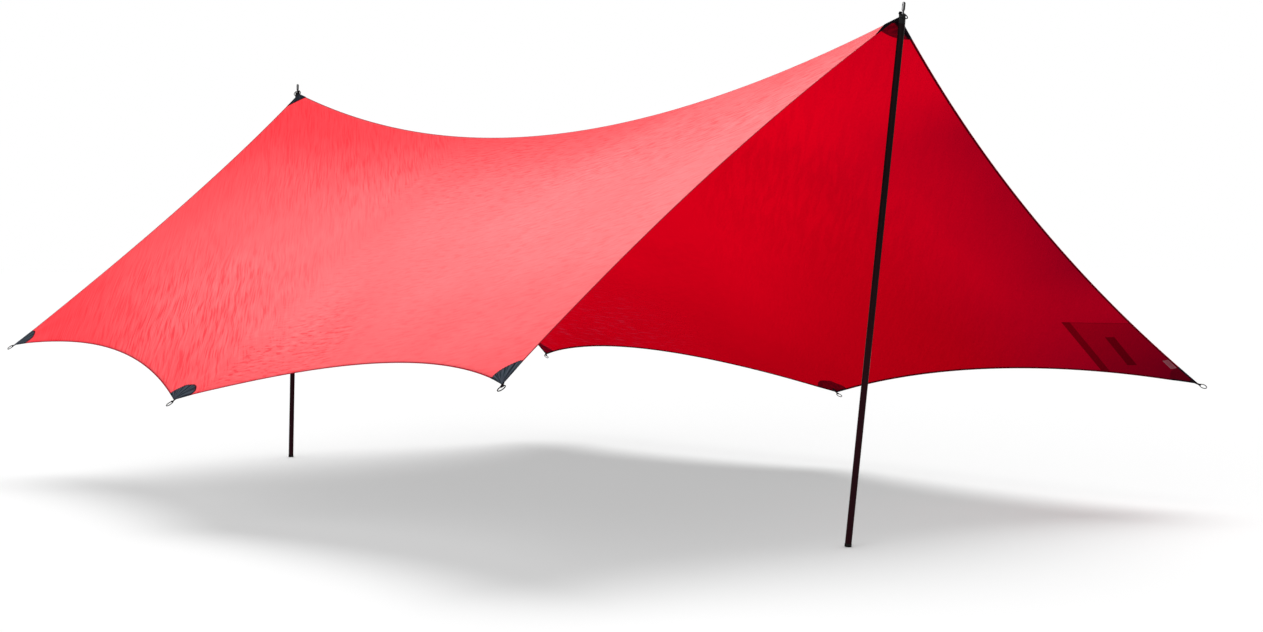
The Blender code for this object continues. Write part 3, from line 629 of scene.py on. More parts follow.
# Colours of the cloth

clothLook = {
    "red": (0.92, 0.0, 0.016),            # the dye; the outer face adds a painted sheen to it
    "paintedSheen": 0.0805, "paintedSheenRight": (0.0326, -0.0060), "paintedSheenDown": (0.1594, -0.0774), "paintedSheenLeast": 0.036,
    "inner": (1.0, 0.0, 0.014), "innerDim": (0.0, 0.0, 0.0105), "innerTop": 1.08, "innerFade": 0.10,
    "innerRight": 0.22, "innerEdge": 0.34, "innerFolds": 0.062,
    "doubled": (0.085, 0.0006, 0.006),    # where a sewn piece behind stops the light
    "thread": (0.22, 0.010, 0.014),
    # light left under the pocket, its top line, its mouth and the strip
    "lets": (0.76, 0.74, 0.52, 0.46),
    "slantLines": 132.0, "slantRun": 5.6, "levelLines": 68.0, "levelRun": 16.0, "warp": 0.045,
    # painted shade in the creases and painted highlight on the folds between
    "paintedCreaseShade": 0.44, "paintedFoldHighlight": 0.27, "ridgeSeam": 0.0045,
    "discs": {             # how far each fan darkens the cloth behind it
        "nearLeft": 0.108, "nearMiddle": 0.100, "nearRight": 0.118, "farRight": 0.122,
        "farMiddle": 0.108, "farLeft": 0.118, "peakLeft": 0.112, "peakRight": 0.118,
    },
}


def wrinkles(tree, uv, values, coarser=1.0):
    # The panels mirror each other through the middle of the ridge: on one half of each the folds run
    # slantwise from peak to middle tie-out, on the other half along the ridge. Both are stretched noise.
    u, v, _ = partsOf(tree, uv)
    away = sums(tree, "ABSOLUTE", v)
    side = sums(tree, "SIGN", v)
    turned = sums(tree, "MULTIPLY", sums(tree, "MULTIPLY", u, side), -1.0)
    warp = sums(tree, "MULTIPLY_ADD", noiseOf(tree, uv, 2.1, 2.0), values["warp"], -0.5 * values["warp"])
    leanU = sums(tree, "MULTIPLY_ADD", side, -0.024, 0.790)
    leanV = sums(tree, "MULTIPLY_ADD", side, 0.031, 0.612)
    along = sums(tree, "ADD", sums(tree, "MULTIPLY", turned, leanU), sums(tree, "MULTIPLY", away, leanV))
    across = sums(
        tree, "SUBTRACT", sums(tree, "MULTIPLY", away, leanU), sums(tree, "MULTIPLY", turned, leanV)
    )
    across = sums(tree, "ADD", across, warp)
    slant = noiseOf(
        tree,
        vectorOf(
            tree, sums(tree, "MULTIPLY", across, values["slantLines"] / coarser),
            sums(tree, "MULTIPLY", along, values["slantRun"]), sums(tree, "MULTIPLY", side, 4.7)
        ),
        1.0, 1.3, 0.5
    )
    down = sums(tree, "ADD", sums(tree, "MULTIPLY_ADD", turned, 0.07, away), warp)
    level = noiseOf(
        tree,
        vectorOf(
            tree, sums(tree, "MULTIPLY", turned, values["levelRun"]),
            sums(tree, "MULTIPLY", down, values["levelLines"] / coarser),
            sums(tree, "MULTIPLY_ADD", side, 3.1, 9.0)
        ),
        1.0, 2.0, 0.55
    )
    wander = sums(tree, "MULTIPLY_ADD", noiseOf(tree, uv, 1.9, 2.0), 0.8, -0.4)
    toLevel = ramp(
        tree, sums(tree, "ADD", sums(tree, "MULTIPLY_ADD", away, -0.40, turned), wander), -0.74, -0.42
    )
    streaks = sums(
        tree, "ADD", slant, sums(tree, "MULTIPLY", toLevel, sums(tree, "SUBTRACT", level, slant))
    )

    # Deepest low on the slanting half, again along the ridge and beside the middle tie-out.
    def spot(middle, reach, near, far, top):
        a = sums(tree, "DIVIDE", sums(tree, "SUBTRACT", turned, middle[0]), reach[0])
        b = sums(tree, "DIVIDE", sums(tree, "SUBTRACT", away, middle[1]), reach[1])
        return ramp(
            tree, sums(tree, "ADD", sums(tree, "MULTIPLY", a, a), sums(tree, "MULTIPLY", b, b)), near, far,
            top, 0.0
        )
    low = sums(
        tree, "ADD", spot((-1.00, 1.85), (0.95, 0.58), 0.1, 2.2, 0.95),
        spot((0.42, 1.95), (0.55, 0.55), 0.0, 1.0, 0.80)
    )
    depth = sums(tree, "MAXIMUM", sums(tree, "ADD", low, 0.34), ramp(tree, away, 0.40, 0.90, 0.84, 0.34))
    depth = sums(
        tree, "MULTIPLY", depth, ramp(tree, noiseOf(tree, uv, 3.1, 2.0, 0.5), 0.36, 0.60, 0.78, 1.06)
    )
    return streaks, u, away, depth, turned


def planeSide(tree, place, origin, normal):
    # Metres past a line of the corner's plane, along its normal.
    axis = cornerIn * normal[0] + cornerSide * normal[1]
    node = tree.nodes.new("ShaderNodeVectorMath")
    node.operation = "DOT_PRODUCT"
    tree.links.new(place, node.inputs[0])
    node.inputs[1].default_value = tuple(float(x) for x in axis)
    return sums(tree, "SUBTRACT", node.outputs["Value"], float(cornerTip @ axis + np.dot(origin, normal)))


def both(tree, *shares):
    made = shares[0]
    for share in shares[1:]:
        made = sums(tree, "MULTIPLY", made, share)
    return made


def tieDiscs(tree, place, soft):
    # 1 inside the reach of the nearest fan, 0 outside.
    nearest = None
    for title in hemSpots:
        node = tree.nodes.new("ShaderNodeVectorMath")
        node.operation = "DISTANCE"
        tree.links.new(place, node.inputs[0])
        node.inputs[1].default_value = tuple(float(x) for x in tiePoints[title])
        away = sums(tree, "SUBTRACT", node.outputs["Value"], clothLook["discs"][title])
        nearest = away if nearest is None else sums(tree, "MINIMUM", nearest, away)
    return ramp(tree, nearest, -soft, soft * 0.3, 1.0, 0.0)


def makeOuterCloth(values):
    # Red dye under a painted sheen, a square law of the place across and down each panel,
    # with painted shade in fine creases and painted highlight on the folds between.
    made, tree, shader = startMaterial("clothOuter", roughness=0.55, specular=0.06)
    uv = uvOf(tree, "cloth")
    streaks, u, away, depth, _ = wrinkles(tree, uv, values)
    broad = noiseOf(tree, uv, 1.3, 3.0, 0.55)
    # Painted sheen: a pale share mixed into the red, a square law of the place across and down each panel.
    paintedSheen = values["paintedSheen"]
    for measure, (slope, bend) in ((u, values["paintedSheenRight"]), (away, values["paintedSheenDown"])):
        paintedSheen = sums(
            tree, "ADD", paintedSheen,
            sums(tree, "MULTIPLY", measure, sums(tree, "MULTIPLY_ADD", measure, bend, slope))
        )
    paintedSheen = sums(tree, "MULTIPLY", paintedSheen, ramp(tree, broad, 0.30, 0.70, 0.90, 1.09))
    # Painted shade: the painted sheen is taken down near the ridge, most in the middle, and near the hem on
    # the right.
    shoulder = both(tree, ramp(tree, away, 0.15, 0.60, 1.0, 0.0), ramp(tree, u, 0.9, 1.5, 1.0, 0.0))
    paintedSheen = sums(tree, "MULTIPLY", paintedSheen, sums(tree, "MULTIPLY_ADD", shoulder, -0.17, 0.97))
    saddle = both(
        tree, ramp(tree, away, 0.30, 0.75, 1.0, 0.0), ramp(tree, u, -0.5, 0.0),
        ramp(tree, u, 0.7, 1.3, 1.0, 0.0)
    )
    lowRight = both(tree, ramp(tree, away, 1.25, 1.70), ramp(tree, u, 0.2, 0.6))
    paintedSheen = sums(
        tree, "MULTIPLY", paintedSheen,
        sums(tree, "MULTIPLY_ADD", sums(tree, "MAXIMUM", saddle, lowRight), -0.13, 1.0)
    )
    paintedSheen = sums(tree, "SMOOTH_MAX", paintedSheen, values["paintedSheenLeast"], 0.03)
    # Painted shade in the creases and painted highlight on the folds between: they take the painted sheen
    # down and up, and the creases darken the red further.
    crease = ramp(tree, streaks, 0.36, 0.47, 1.0, 0.0)
    ridge = ramp(tree, streaks, 0.54, 0.64)
    change = sums(
        tree, "SUBTRACT", sums(tree, "MULTIPLY", ridge, values["paintedFoldHighlight"]),
        sums(tree, "MULTIPLY", crease, values["paintedCreaseShade"])
    )
    paintedSheen = sums(tree, "MULTIPLY", paintedSheen, sums(tree, "MULTIPLY_ADD", change, depth, 1.0))
    colour = blendColour(tree, paintedSheen, values["red"], (1.0, 1.0, 1.0))
    colour = blendColour(tree, both(tree, crease, depth, 0.10), colour, (0.55, 0.01, 0.02))
    seam = sums(
        tree, "MAXIMUM", dashes(tree, u, away, 0.0032, 0.0034, 0.0008),
        dashes(tree, u, away, 0.0080, 0.0034, 0.0008)
    )
    colour = blendColour(
        tree, ramp(tree, away, values["ridgeSeam"] * 0.8, values["ridgeSeam"], 0.9, 0.0), colour,
        (0.20, 0.008, 0.020)
    )
    colour = blendColour(tree, seam, colour, values["thread"])
    tree.links.new(colour, shader.inputs["Base Color"])
    fine = noiseOf(tree, uv, 190.0, 2.0, 0.6)
    height = sums(tree, "ADD", sums(tree, "MULTIPLY", streaks, depth), sums(tree, "MULTIPLY", fine, 0.03))
    height = sums(tree, "SUBTRACT", height, sums(tree, "MULTIPLY", seam, 0.07))
    relief(tree, shader, height, 0.0026)
    return made


def makeInnerCloth(values):
    # Daylight through the cloth: brightest high in the middle, falling with the square of the distance from
    # the ridge and towards the right; darker wherever a second layer is sewn on the outer face.
    made, tree, shader = startMaterial("clothInner", roughness=0.75, specular=0.0)
    uv = uvOf(tree, "cloth")
    streaks, u, away, _, turned = wrinkles(tree, uv, values, 2.6)
    glow = sums(
        tree, "SUBTRACT", values["innerTop"],
        sums(tree, "MULTIPLY", sums(tree, "MULTIPLY", away, away), values["innerFade"])
    )
    right = sums(tree, "MAXIMUM", sums(tree, "SUBTRACT", u, 0.3), 0.0)
    glow = sums(tree, "SUBTRACT", glow, sums(tree, "MULTIPLY", right, values["innerRight"]))
    edgeward = sums(tree, "MAXIMUM", sums(tree, "SUBTRACT", u, 1.6), 0.0)
    edgeward = both(tree, edgeward, ramp(tree, away, 0.30, 0.65), ramp(tree, away, 1.40, 1.72, 1.0, 0.0))
    glow = sums(tree, "SUBTRACT", glow, sums(tree, "MULTIPLY", edgeward, values["innerEdge"]))
    glow = sums(
        tree, "ADD", glow, both(tree, ramp(tree, away, 0.2, 0.7, 0.10, 0.0), ramp(tree, u, 1.0, 1.6))
    )
    folds = ramp(tree, streaks, 0.36, 0.64, -1.0, 0.5)
    deep = both(
        tree, ramp(tree, turned, -1.75, -1.35, 0.42, 1.0), ramp(tree, turned, -1.0, -0.4, 1.0, 0.42),
        ramp(tree, away, 0.7, 1.4, 1.0, 0.42)
    )
    glow = sums(
        tree, "MULTIPLY", glow,
        sums(tree, "MULTIPLY_ADD", both(tree, folds, deep), values["innerFolds"], 1.0)
    )
    glow = sums(tree, "MULTIPLY", glow, ramp(tree, noiseOf(tree, uv, 1.1, 2.0, 0.5), 0.3, 0.7, 0.95, 1.04))
    glow = sums(tree, "MINIMUM", glow, 1.0)
    place = placeOf(tree)
    lowerThan = planeSide(tree, place, mouthOuter, (-topRun[1], topRun[0]))
    beyond = planeSide(tree, place, mouthOuter, -mouthAcross)
    below, past = ramp(tree, lowerThan, 0.0, 0.002), ramp(tree, beyond, 0.0, 0.002)
    pocket = both(tree, below, past)
    topLine = both(tree, pocket, ramp(tree, lowerThan, 0.005, 0.007, 1.0, 0.0))
    fold = sewn["mouthWidth"] + sewn["mouthTurned"]
    mouth = both(tree, pocket, ramp(tree, beyond, fold, fold + 0.002, 1.0, 0.0))
    closureMiddle = np.array(sewn["closureMiddle"])
    alongStrip = sums(tree, "ABSOLUTE", planeSide(tree, place, closureMiddle, mouthRun))
    acrossStrip = sums(tree, "ABSOLUTE", planeSide(tree, place, closureMiddle, mouthAcross))
    halfLong, halfWide = sewn["closureLength"] / 2, sewn["closureWidth"] / 2
    closure = both(
        tree, ramp(tree, alongStrip, halfLong - 0.002, halfLong, 1.0, 0.0),
        ramp(tree, acrossStrip, halfWide - 0.002, halfWide, 1.0, 0.0)
    )
    # a little blue sky in the dark corner
    dim = blendColour(tree, ramp(tree, u, 0.9, 1.7), (0.0, 0.0, 0.0), values["innerDim"])
    colour = blendColour(tree, glow, dim, values["inner"])
    let = 1.0
    for mask, left in zip((pocket, topLine, mouth, closure), values["lets"]):
        let = sums(tree, "MULTIPLY", sums(tree, "MULTIPLY_ADD", mask, left - 1.0, 1.0), let)
    colour = blendColour(tree, let, (0.0, 0.0, 0.0), colour)
    fan = tieDiscs(tree, place, 0.003)
    uneven = ramp(tree, noiseOf(tree, place, 55.0, 3.0, 0.6), 0.35, 0.7, 0.97, 0.80)
    colour = blendColour(tree, sums(tree, "MULTIPLY", fan, uneven), colour, values["doubled"])
    x, y, _ = partsOf(tree, place)
    peakX = float(tiePoints["peakRight"][0])
    # Painted shade: near black on the inner face under the right peak's fan, on the far side of the ridge.
    paintedShadeRightPeak = both(
        tree, fan, ramp(tree, x, peakX - 0.042, peakX - 0.030), ramp(tree, y, 0.0, 0.012),
        ramp(tree, away, 0.22, 0.26, 1.0, 0.0)
    )
    colour = blendColour(tree, paintedShadeRightPeak, colour, (0.006, 0.002, 0.004))
    # Pale pinkish lines across the cloth towards the hems at the left end.
    paleLineNoise = noiseOf(
        tree, vectorOf(tree, sums(tree, "MULTIPLY", u, 9.0), sums(tree, "MULTIPLY", away, 95.0), 5.0), 1.0,
        2.0, 0.5
    )
    paleLines = both(
        tree, ramp(tree, paleLineNoise, 0.54, 0.64), ramp(tree, u, -1.3, -0.5, 1.0, 0.0),
        ramp(tree, away, 1.2, 1.6)
    )
    colour = blendColour(tree, sums(tree, "MULTIPLY", paleLines, 0.30), colour, (0.62, 0.030, 0.075))
    tree.links.new(colour, shader.inputs["Base Color"])
    relief(tree, shader, streaks, 0.0020)
    return made


clothOuter = makeOuterCloth(clothLook)
clothInner = makeInnerCloth(clothLook)


def buildCanopy():
    uv = np.stack((clothU, clothV), -1)
    sheet = putShell("canopy_cloth", net, netNormals, 0.0, canopy["cloth"], {"cloth": uv}, inner=1)
    dress(sheet, "canopy", "canopy_cloth", clothOuter, clothInner)
    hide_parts("canopy_near_panel", "canopy_far_panel")
    sheet.visible_diffuse = False      # keeps the red of the cloth off the pale floor; its shadow stays
    return sheet


canopySheet = buildCanopy()
print("canopy sheet made")


# Hem: the cloth's edge rolled under and stitched

hem = {"width": 0.0095, "roll": 0.0010, "layer": 0.0006, "lip": 0.0040, "steps": 2}


def makeHemCloth():
    made, tree, shader = startMaterial("hemCloth", roughness=0.75, specular=0.0)
    uv = uvOf(tree, "edge")
    along, across, _ = partsOf(tree, uv)
    shade = noiseOf(
        tree, vectorOf(tree, sums(tree, "MULTIPLY", along, 60.0), sums(tree, "MULTIPLY", across, 300.0)),
        1.0, 2.0
    )
    outerTone = blendColour(tree, shade, (0.280, 0.012, 0.024), (0.420, 0.020, 0.034))
    # The inner face is far darker than the outer lip: painted shade where the rolled layers stop the light.
    innerTone = blendColour(tree, shade, (0.050, 0.0010, 0.0035), (0.095, 0.0015, 0.0060))
    colour = blendColour(tree, ramp(tree, across, -0.0002, 0.0006), outerTone, innerTone)
    # black at the fans: painted shade where the fan on top stops the light
    colour = blendColour(tree, tieDiscs(tree, placeOf(tree), 0.004), colour, (0.008, 0.006, 0.010))
    thread = dashes(tree, along, across, hem["width"] - 0.0014, 0.0032, 0.0007)
    colour = blendColour(tree, thread, colour, (0.07, 0.003, 0.006))
    tree.links.new(colour, shader.inputs["Base Color"])
    relief(tree, shader, sums(tree, "ADD", thread, sums(tree, "MULTIPLY", shade, 0.4)), 0.0004)
    return made


def buildHem(name, columns, rows, inwardColumns, inwardRows, finish):
    # A flat hook section carried along one free edge: a lip on the outer face, round the
    # edge, and back under it.
    edge, normal = onCloth(columns, rows)
    inner, _ = onCloth(columns + inwardColumns, rows + inwardRows)
    inward = unit(inner - edge)
    cloth = canopy["cloth"]
    roll, layer, lip, width = hem["roll"], hem["layer"], hem["lip"], hem["width"]
    section = np.array(
        [
            (lip, cloth + 0.0001), (lip, cloth + 0.0001 + layer * 0.6), (0.0, cloth + 0.0001 + layer),
            (-roll * 0.7, cloth + layer * 0.6), (-roll, cloth / 2), (-roll * 0.7, -layer * 0.7),
            (0.0, -0.0001 - layer), (width * 0.5, -0.0001 - layer * 1.15), (width, -0.0001 - layer),
            (width, -0.0001), (width * 0.5, -0.0001), (0.0, -0.0001), (-roll * 0.35, cloth / 2),
            (0.0, cloth + 0.0001),
        ]
    )
    points = edge[:, None] + inward[:, None] * section[None, :, :1] + normal[:, None] * section[None, :, 1:]
    length = np.concatenate(([0.0], np.cumsum(np.linalg.norm(np.diff(edge, axis=0), axis=-1))))
    across = np.where(section[:, 1] > cloth / 2, -section[:, 0], section[:, 0])
    uv = np.stack(np.broadcast_arrays(length[:, None], across[None, :]), -1)
    count = len(section)
    quads = gridQuads(len(columns), count, closedColumns=True)
    ends = np.stack((np.arange(count), np.arange(count)[::-1] + (len(columns) - 1) * count))
    piece = putMesh(name, points, [quads, ends], {"edge": uv})
    return dress(piece, "canopy", "canopy_cloth", finish)


hemCloth = makeHemCloth()
fine = np.linspace(0, midColumn, midColumn * hem["steps"] + 1)
tall = np.linspace(0, ridgeRow, ridgeRow * hem["steps"] + 1)
for title, columns, rows, stepIn in (
    ("hem_near_left_bay", fine, 0 * fine, (0, 1)),
    ("hem_near_right_bay", fine + midColumn, 0 * fine, (0, 1)),
    ("hem_far_left_bay", fine, 0 * fine + lastRow, (0, -1)),
    ("hem_far_right_bay", fine + midColumn, 0 * fine + lastRow, (0, -1)),
    ("hem_left_near", 0 * tall, tall, (1, 0)), ("hem_left_far", 0 * tall, tall + ridgeRow, (1, 0)),
    ("hem_right_near", 0 * tall + lastColumn, tall, (-1, 0)),
    ("hem_right_far", 0 * tall + lastColumn, tall + ridgeRow, (-1, 0)),
):
    buildHem(title, columns, rows, *stepIn, hemCloth)


# Patches: fans with scalloped, overlocked edges

patch = {
    "radius": 0.125, "scallop": 0.0040, "thickness": 0.0007, "lift": 0.0010,
    "swell": 0.20,           # corner fans reach this much further half way round
    "reach": {               # share of the radius along the fan's first and last edge
        "nearLeft": (0.82, 0.88), "nearRight": (0.84, 1.0), "farLeft": (0.86, 0.98),
        "farRight": (0.86, 1.0),
        "nearMiddle": (0.76, 0.84), "farMiddle": (0.86, 0.92), "peakLeft": (0.98, 0.98),
        "peakRight": (0.98, 0.98),
    },
    "peakHollow": 0.66,      # how far the peak fans reach along the ridge
    "teeth": {"corner": 14, "middle": 24, "peak": 26}, "rings": 18, "perTooth": 8, "pleat": 0.0009,
}


def makePatchCloth(name, dark, light, tinted):
    made, tree, shader = startMaterial(name, roughness=0.75, specular=0.0)
    uv = uvOf(tree, "fan")
    around, inward, _ = partsOf(tree, uv)       # metres round the rim, metres in from it
    weave = noiseOf(tree, stretched(tree, uv, (900.0, 900.0, 1.0)), 1.0, 2.0, 0.6)
    # Radial streaks: pleats in the bump, and painted shade along the pleats in the colour.
    rays = noiseOf(
        tree, vectorOf(tree, sums(tree, "MULTIPLY", around, 70.0), sums(tree, "MULTIPLY", inward, 7.0)),
        1.0, 2.0, 0.55
    )
    tone = sums(tree, "ADD", sums(tree, "MULTIPLY", rays, 0.8), sums(tree, "MULTIPLY", weave, 0.2))
    colour = blendColour(tree, ramp(tree, tone, 0.40, 0.60), dark, light)
    tint = noiseOf(
        tree,
        vectorOf(tree, sums(tree, "MULTIPLY", around, 38.0), sums(tree, "MULTIPLY", inward, 14.0), 3.0),
        1.0, 1.0
    )
    colour = blendColour(tree, ramp(tree, tint, 0.35, 0.65, 0.0, 0.35), colour, tinted)
    # Overlock stitches bite over the rim: slanted dark red threads.
    slant = sums(tree, "ADD", around, sums(tree, "MULTIPLY", inward, 0.7))
    beat = sums(tree, "FRACT", sums(tree, "DIVIDE", slant, 0.0034))
    thread = ramp(tree, sums(tree, "ABSOLUTE", sums(tree, "SUBTRACT", beat, 0.5)), 0.26, 0.36, 1.0, 0.0)
    rim = ramp(tree, inward, 0.0042, 0.0048, 1.0, 0.0)
    overlock = sums(tree, "MULTIPLY", rim, sums(tree, "ADD", sums(tree, "MULTIPLY", thread, 0.45), 0.55))
    colour = blendColour(tree, overlock, colour, (0.050, 0.003, 0.008))
    colour = blendColour(
        tree, dashes(tree, around, inward, 0.0085, 0.0034, 0.0008), colour, (0.016, 0.016, 0.020)
    )
    tree.links.new(colour, shader.inputs["Base Color"])
    height = sums(tree, "ADD", rays, sums(tree, "MULTIPLY", weave, 0.12))
    height = sums(tree, "ADD", height, sums(tree, "MULTIPLY", sums(tree, "MULTIPLY", rim, thread), 0.35))
    relief(tree, shader, height, 0.0016)
    return made


def buildPatch(name, spot, node, teeth, finish):
    # Polar grid: rings from the tip out to a rim of rounded teeth, with pleats that deepen outwards.
    share = np.linspace(0, 1, teeth * patch["perTooth"] + 1)[None, :]
    ring = (np.linspace(0.0, 1.0, patch["rings"] + 1) ** 0.8)[:, None]
    ring = 0.02 + 0.98 * ring
    first, last = patch["reach"][spot]
    rim = patch["radius"] * (first + (last - first) * share)
    if "corner" in node:
        rim = rim * (1 + patch["swell"] * np.sin(math.pi * share))
    if spot.startswith("peak"):       # straight from the hems to a point short of that along the ridge
        rim = rim / (np.abs(np.cos(math.pi * share)) + np.sin(math.pi * share) / patch["peakHollow"])
    rim = rim - patch["scallop"] * (1 - np.abs(np.sin(math.pi * teeth * share)) ** 0.8)
    columns, rows = fanOnCloth(spot, ring * rim, share)
    points, normals = onCloth(columns, rows)
    angle = share * (math.pi if teeth > 14 else math.pi / 2)
    pleats = patch["pleat"] * np.clip(ring, 0, 1) * np.abs(np.sin(angle * 9.0 + 0.4)) ** 1.5
    pleats = pleats * np.sin(math.pi * np.clip(share, 0, 1)) ** 0.3 * np.clip((1 - ring) / 0.06, 0, 1)
    around = share * rim.mean() * (math.pi if teeth > 14 else math.pi / 2)
    uv = np.stack(np.broadcast_arrays(around, (1 - ring) * rim), -1)
    piece = putShell(name, points, normals, patch["lift"] + pleats, patch["thickness"], {"fan": uv})
    dress(piece, "canopy", "patch_cloth", finish)
    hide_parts(node)
    return piece


patchCloth = makePatchCloth(
    "patchCloth", (0.010, 0.011, 0.016), (0.078, 0.086, 0.112), (0.032, 0.062, 0.072)
)
# Darker copies of the same fan cloth: painted shade for the left peak's fan, deeper painted shade for the
# right peak's.
peakPatchCloth = makePatchCloth(
    "peakPatchCloth", (0.005, 0.005, 0.008), (0.036, 0.040, 0.053), (0.018, 0.028, 0.034)
)
shadedPatchCloth = makePatchCloth(
    "shadedPatchCloth", (0.0010, 0.0008, 0.0010), (0.0080, 0.0070, 0.0090), (0.0060, 0.0050, 0.0060)
)
patchPieces = []
for spot, node, kind in (
    ("nearLeft", "corner_patch_near_left", "corner"), ("nearRight", "corner_patch_near_right", "corner"),
    ("farLeft", "corner_patch_far_left", "corner"), ("farRight", "corner_patch_far_right", "corner"),
    ("nearMiddle", "side_patch_near", "middle"), ("farMiddle", "side_patch_far", "middle"),
    ("peakLeft", "peak_patch_left", "peak"), ("peakRight", "peak_patch_right", "peak"),
):
    # the peak fans take the painted-shade copies
    finish = {"peakLeft": peakPatchCloth, "peakRight": shadedPatchCloth}.get(spot, patchCloth)
    patchPieces.append(buildPatch(node + "_fan", spot, node, patch["teeth"][kind], finish))
print("patches made:", len(patchPieces))

# Tie-outs: webbing loops and the wire rings in them

tieOut = {
    "ringRadius": 0.0145, "wire": 0.00175, "peakRingRadius": 0.01775, "peakWire": 0.0020,
    "width": 0.011, "peakWidth": 0.012, "layer": 0.00096, "half": 0.0005, "play": 0.0003,
    "reach": 0.0095, "tail": 0.035, "eyeRise": 0.0070,
    "capClear": 0.0016,      # middle of the strap beside the cap
}


def makeRingSteel():
    made, tree, shader = startMaterial("ringSteel", metallic=1.0, roughness=0.24)
    shader.inputs["Specular Tint"].default_value = (0.15, 0.15, 0.15, 1.0)
    place = placeOf(tree)
    drawn = noiseOf(tree, stretched(tree, place, (420.0, 420.0, 420.0)), 1.0, 3.0, 0.6)
    worn = noiseOf(tree, place, 160.0, 2.0, 0.5)
    colour = blendColour(tree, ramp(tree, worn, 0.35, 0.7), (0.006, 0.006, 0.007), (0.034, 0.034, 0.036))
    tree.links.new(colour, shader.inputs["Base Color"])
    tree.links.new(ramp(tree, drawn, 0.3, 0.7, 0.18, 0.34), shader.inputs["Roughness"])
    relief(tree, shader, drawn, 0.00005)
    return made


def buildRing(node, joint, radius, wire, finish):
    # Torus: the wire's circle carried round a circle that passes through the webbing eye.
    eye, centre, heading, sideways = ringFrame(node, joint)
    flat = np.cross(heading, sideways)
    a = np.linspace(0, 2 * math.pi, 96, endpoint=False)[:, None, None]
    b = np.linspace(0, 2 * math.pi, 20, endpoint=False)[None, :, None]
    out = np.cos(a) * heading + np.sin(a) * sideways
    points = centre + out * (radius + wire * np.cos(b)) + flat * wire * np.sin(b)
    piece = putMesh(node + "_wire", points, [gridQuads(96, 20, True, True)])
    dress(piece, node, "ring_steel", finish)
    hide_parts(node)
    return piece, eye, heading, sideways


def makeWebbing():
    made, tree, shader = startMaterial("webbing", roughness=0.80, specular=0.0)
    uv = uvOf(tree, "strap")
    along, across, _ = partsOf(tree, uv)
    rib = sums(
        tree, "SINE",
        sums(
            tree, "MULTIPLY",
            sums(tree, "ADD", sums(tree, "MULTIPLY", along, 0.8), sums(tree, "ABSOLUTE", across)), 5200.0
        )
    )
    yarn = noiseOf(tree, uv, 1500.0, 2.0, 0.6)
    tone = sums(
        tree, "ADD", sums(tree, "MULTIPLY", ramp(tree, rib, -1.0, 1.0), 0.5),
        sums(tree, "MULTIPLY", yarn, 0.5)
    )
    colour = blendColour(tree, tone, (0.003, 0.003, 0.004), (0.014, 0.0135, 0.015))
    edge = dashes(tree, along, sums(tree, "ABSOLUTE", across), 0.0036, 0.0026, 0.0006)
    colour = blendColour(tree, edge, colour, (0.060, 0.005, 0.010))
    tree.links.new(colour, shader.inputs["Base Color"])
    relief(tree, shader, sums(tree, "ADD", tone, edge), 0.00025)
    return made


def offsetLine(line, distance):
    # The line moved sideways; at a bend the two sides meet on the bisector.
    run = unit(np.diff(line, axis=0))
    turn = np.stack((-run[:, 1], run[:, 0]), -1)
    before = np.vstack((turn[:1], turn))
    after = np.vstack((turn, turn[-1:]))
    bisector = unit(before + after)
    return line + bisector * distance / np.einsum("ij,ij->i", bisector, after)[:, None]


def softenLine(line, rounds):
    # Corners cut at a quarter and three quarters of each length, again and again.
    for _ in range(rounds):
        a, b = line[:-1] * 0.75 + line[1:] * 0.25, line[:-1] * 0.25 + line[1:] * 0.75
        line = np.vstack((line[:1], np.stack((a, b), 1).reshape(-1, line.shape[1]), line[-1:]))
    return line


def buildLoop(node, path, eyeRadius, width, base, finish):
    # One strap: along its tail, round the eye of the ring, and back beside itself.
    origin, forward, up, sideways = base
    path = np.array(path)
    away = offsetLine(path, tieOut["half"])[:-1]
    back = offsetLine(path, -tieOut["half"])[:-1]
    heading = unit(path[-1] - path[-2])
    middle = math.atan2(heading[1], heading[0])
    opening = math.asin(tieOut["half"] / eyeRadius)
    turn = np.linspace(middle + math.pi - opening, middle - math.pi + opening, 33)
    arc = path[-1] + eyeRadius * np.stack((np.cos(turn), np.sin(turn)), -1)
    line = np.vstack(
        (
            softenLine(np.vstack((away, arc[:1])), 3), arc[1:-1],
            softenLine(np.vstack((arc[-1:], back[::-1])), 3)
        )
    )
    keep = np.concatenate(([True], np.linalg.norm(np.diff(line, axis=0), axis=-1) > 1e-6))
    line = line[keep]
    run = unit(np.gradient(line, axis=0))
    side = np.stack((-run[:, 1], run[:, 0]), -1)
    thick, wide, soft = tieOut["layer"] / 2, width / 2, 0.0003
    section = np.array(
        [
            (-wide + soft, thick), (0, thick), (wide - soft, thick), (wide, thick * 0.3),
            (wide, -thick * 0.3), (wide - soft, -thick), (0, -thick), (-wide + soft, -thick),
            (-wide, -thick * 0.3), (-wide, thick * 0.3)
        ]
    )
    flat = line[:, None, :] + side[:, None, :] * section[None, :, 1:2]
    points = origin + flat[..., :1] * forward + flat[..., 1:2] * up + section[None, :, :1] * sideways
    length = np.concatenate(([0.0], np.cumsum(np.linalg.norm(np.diff(line, axis=0), axis=-1))))
    uv = np.stack(np.broadcast_arrays(length[:, None], section[None, :, 0]), -1)
    count = len(section)
    ends = np.stack((np.arange(count), np.arange(count)[::-1] + (len(line) - 1) * count))
    piece = putMesh(
        node + "_strap", points, [gridQuads(len(line), count, closedColumns=True), ends], {"strap": uv}
    )
    dress(piece, "canopy", "webbing", finish)
    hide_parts(node)
    return piece


def eyeRadiusFor(ringRadius, wire, width):
    bow = ringRadius - math.sqrt(ringRadius**2 - (width / 2) ** 2)
    return wire + bow / 2 + tieOut["play"] + tieOut["half"]


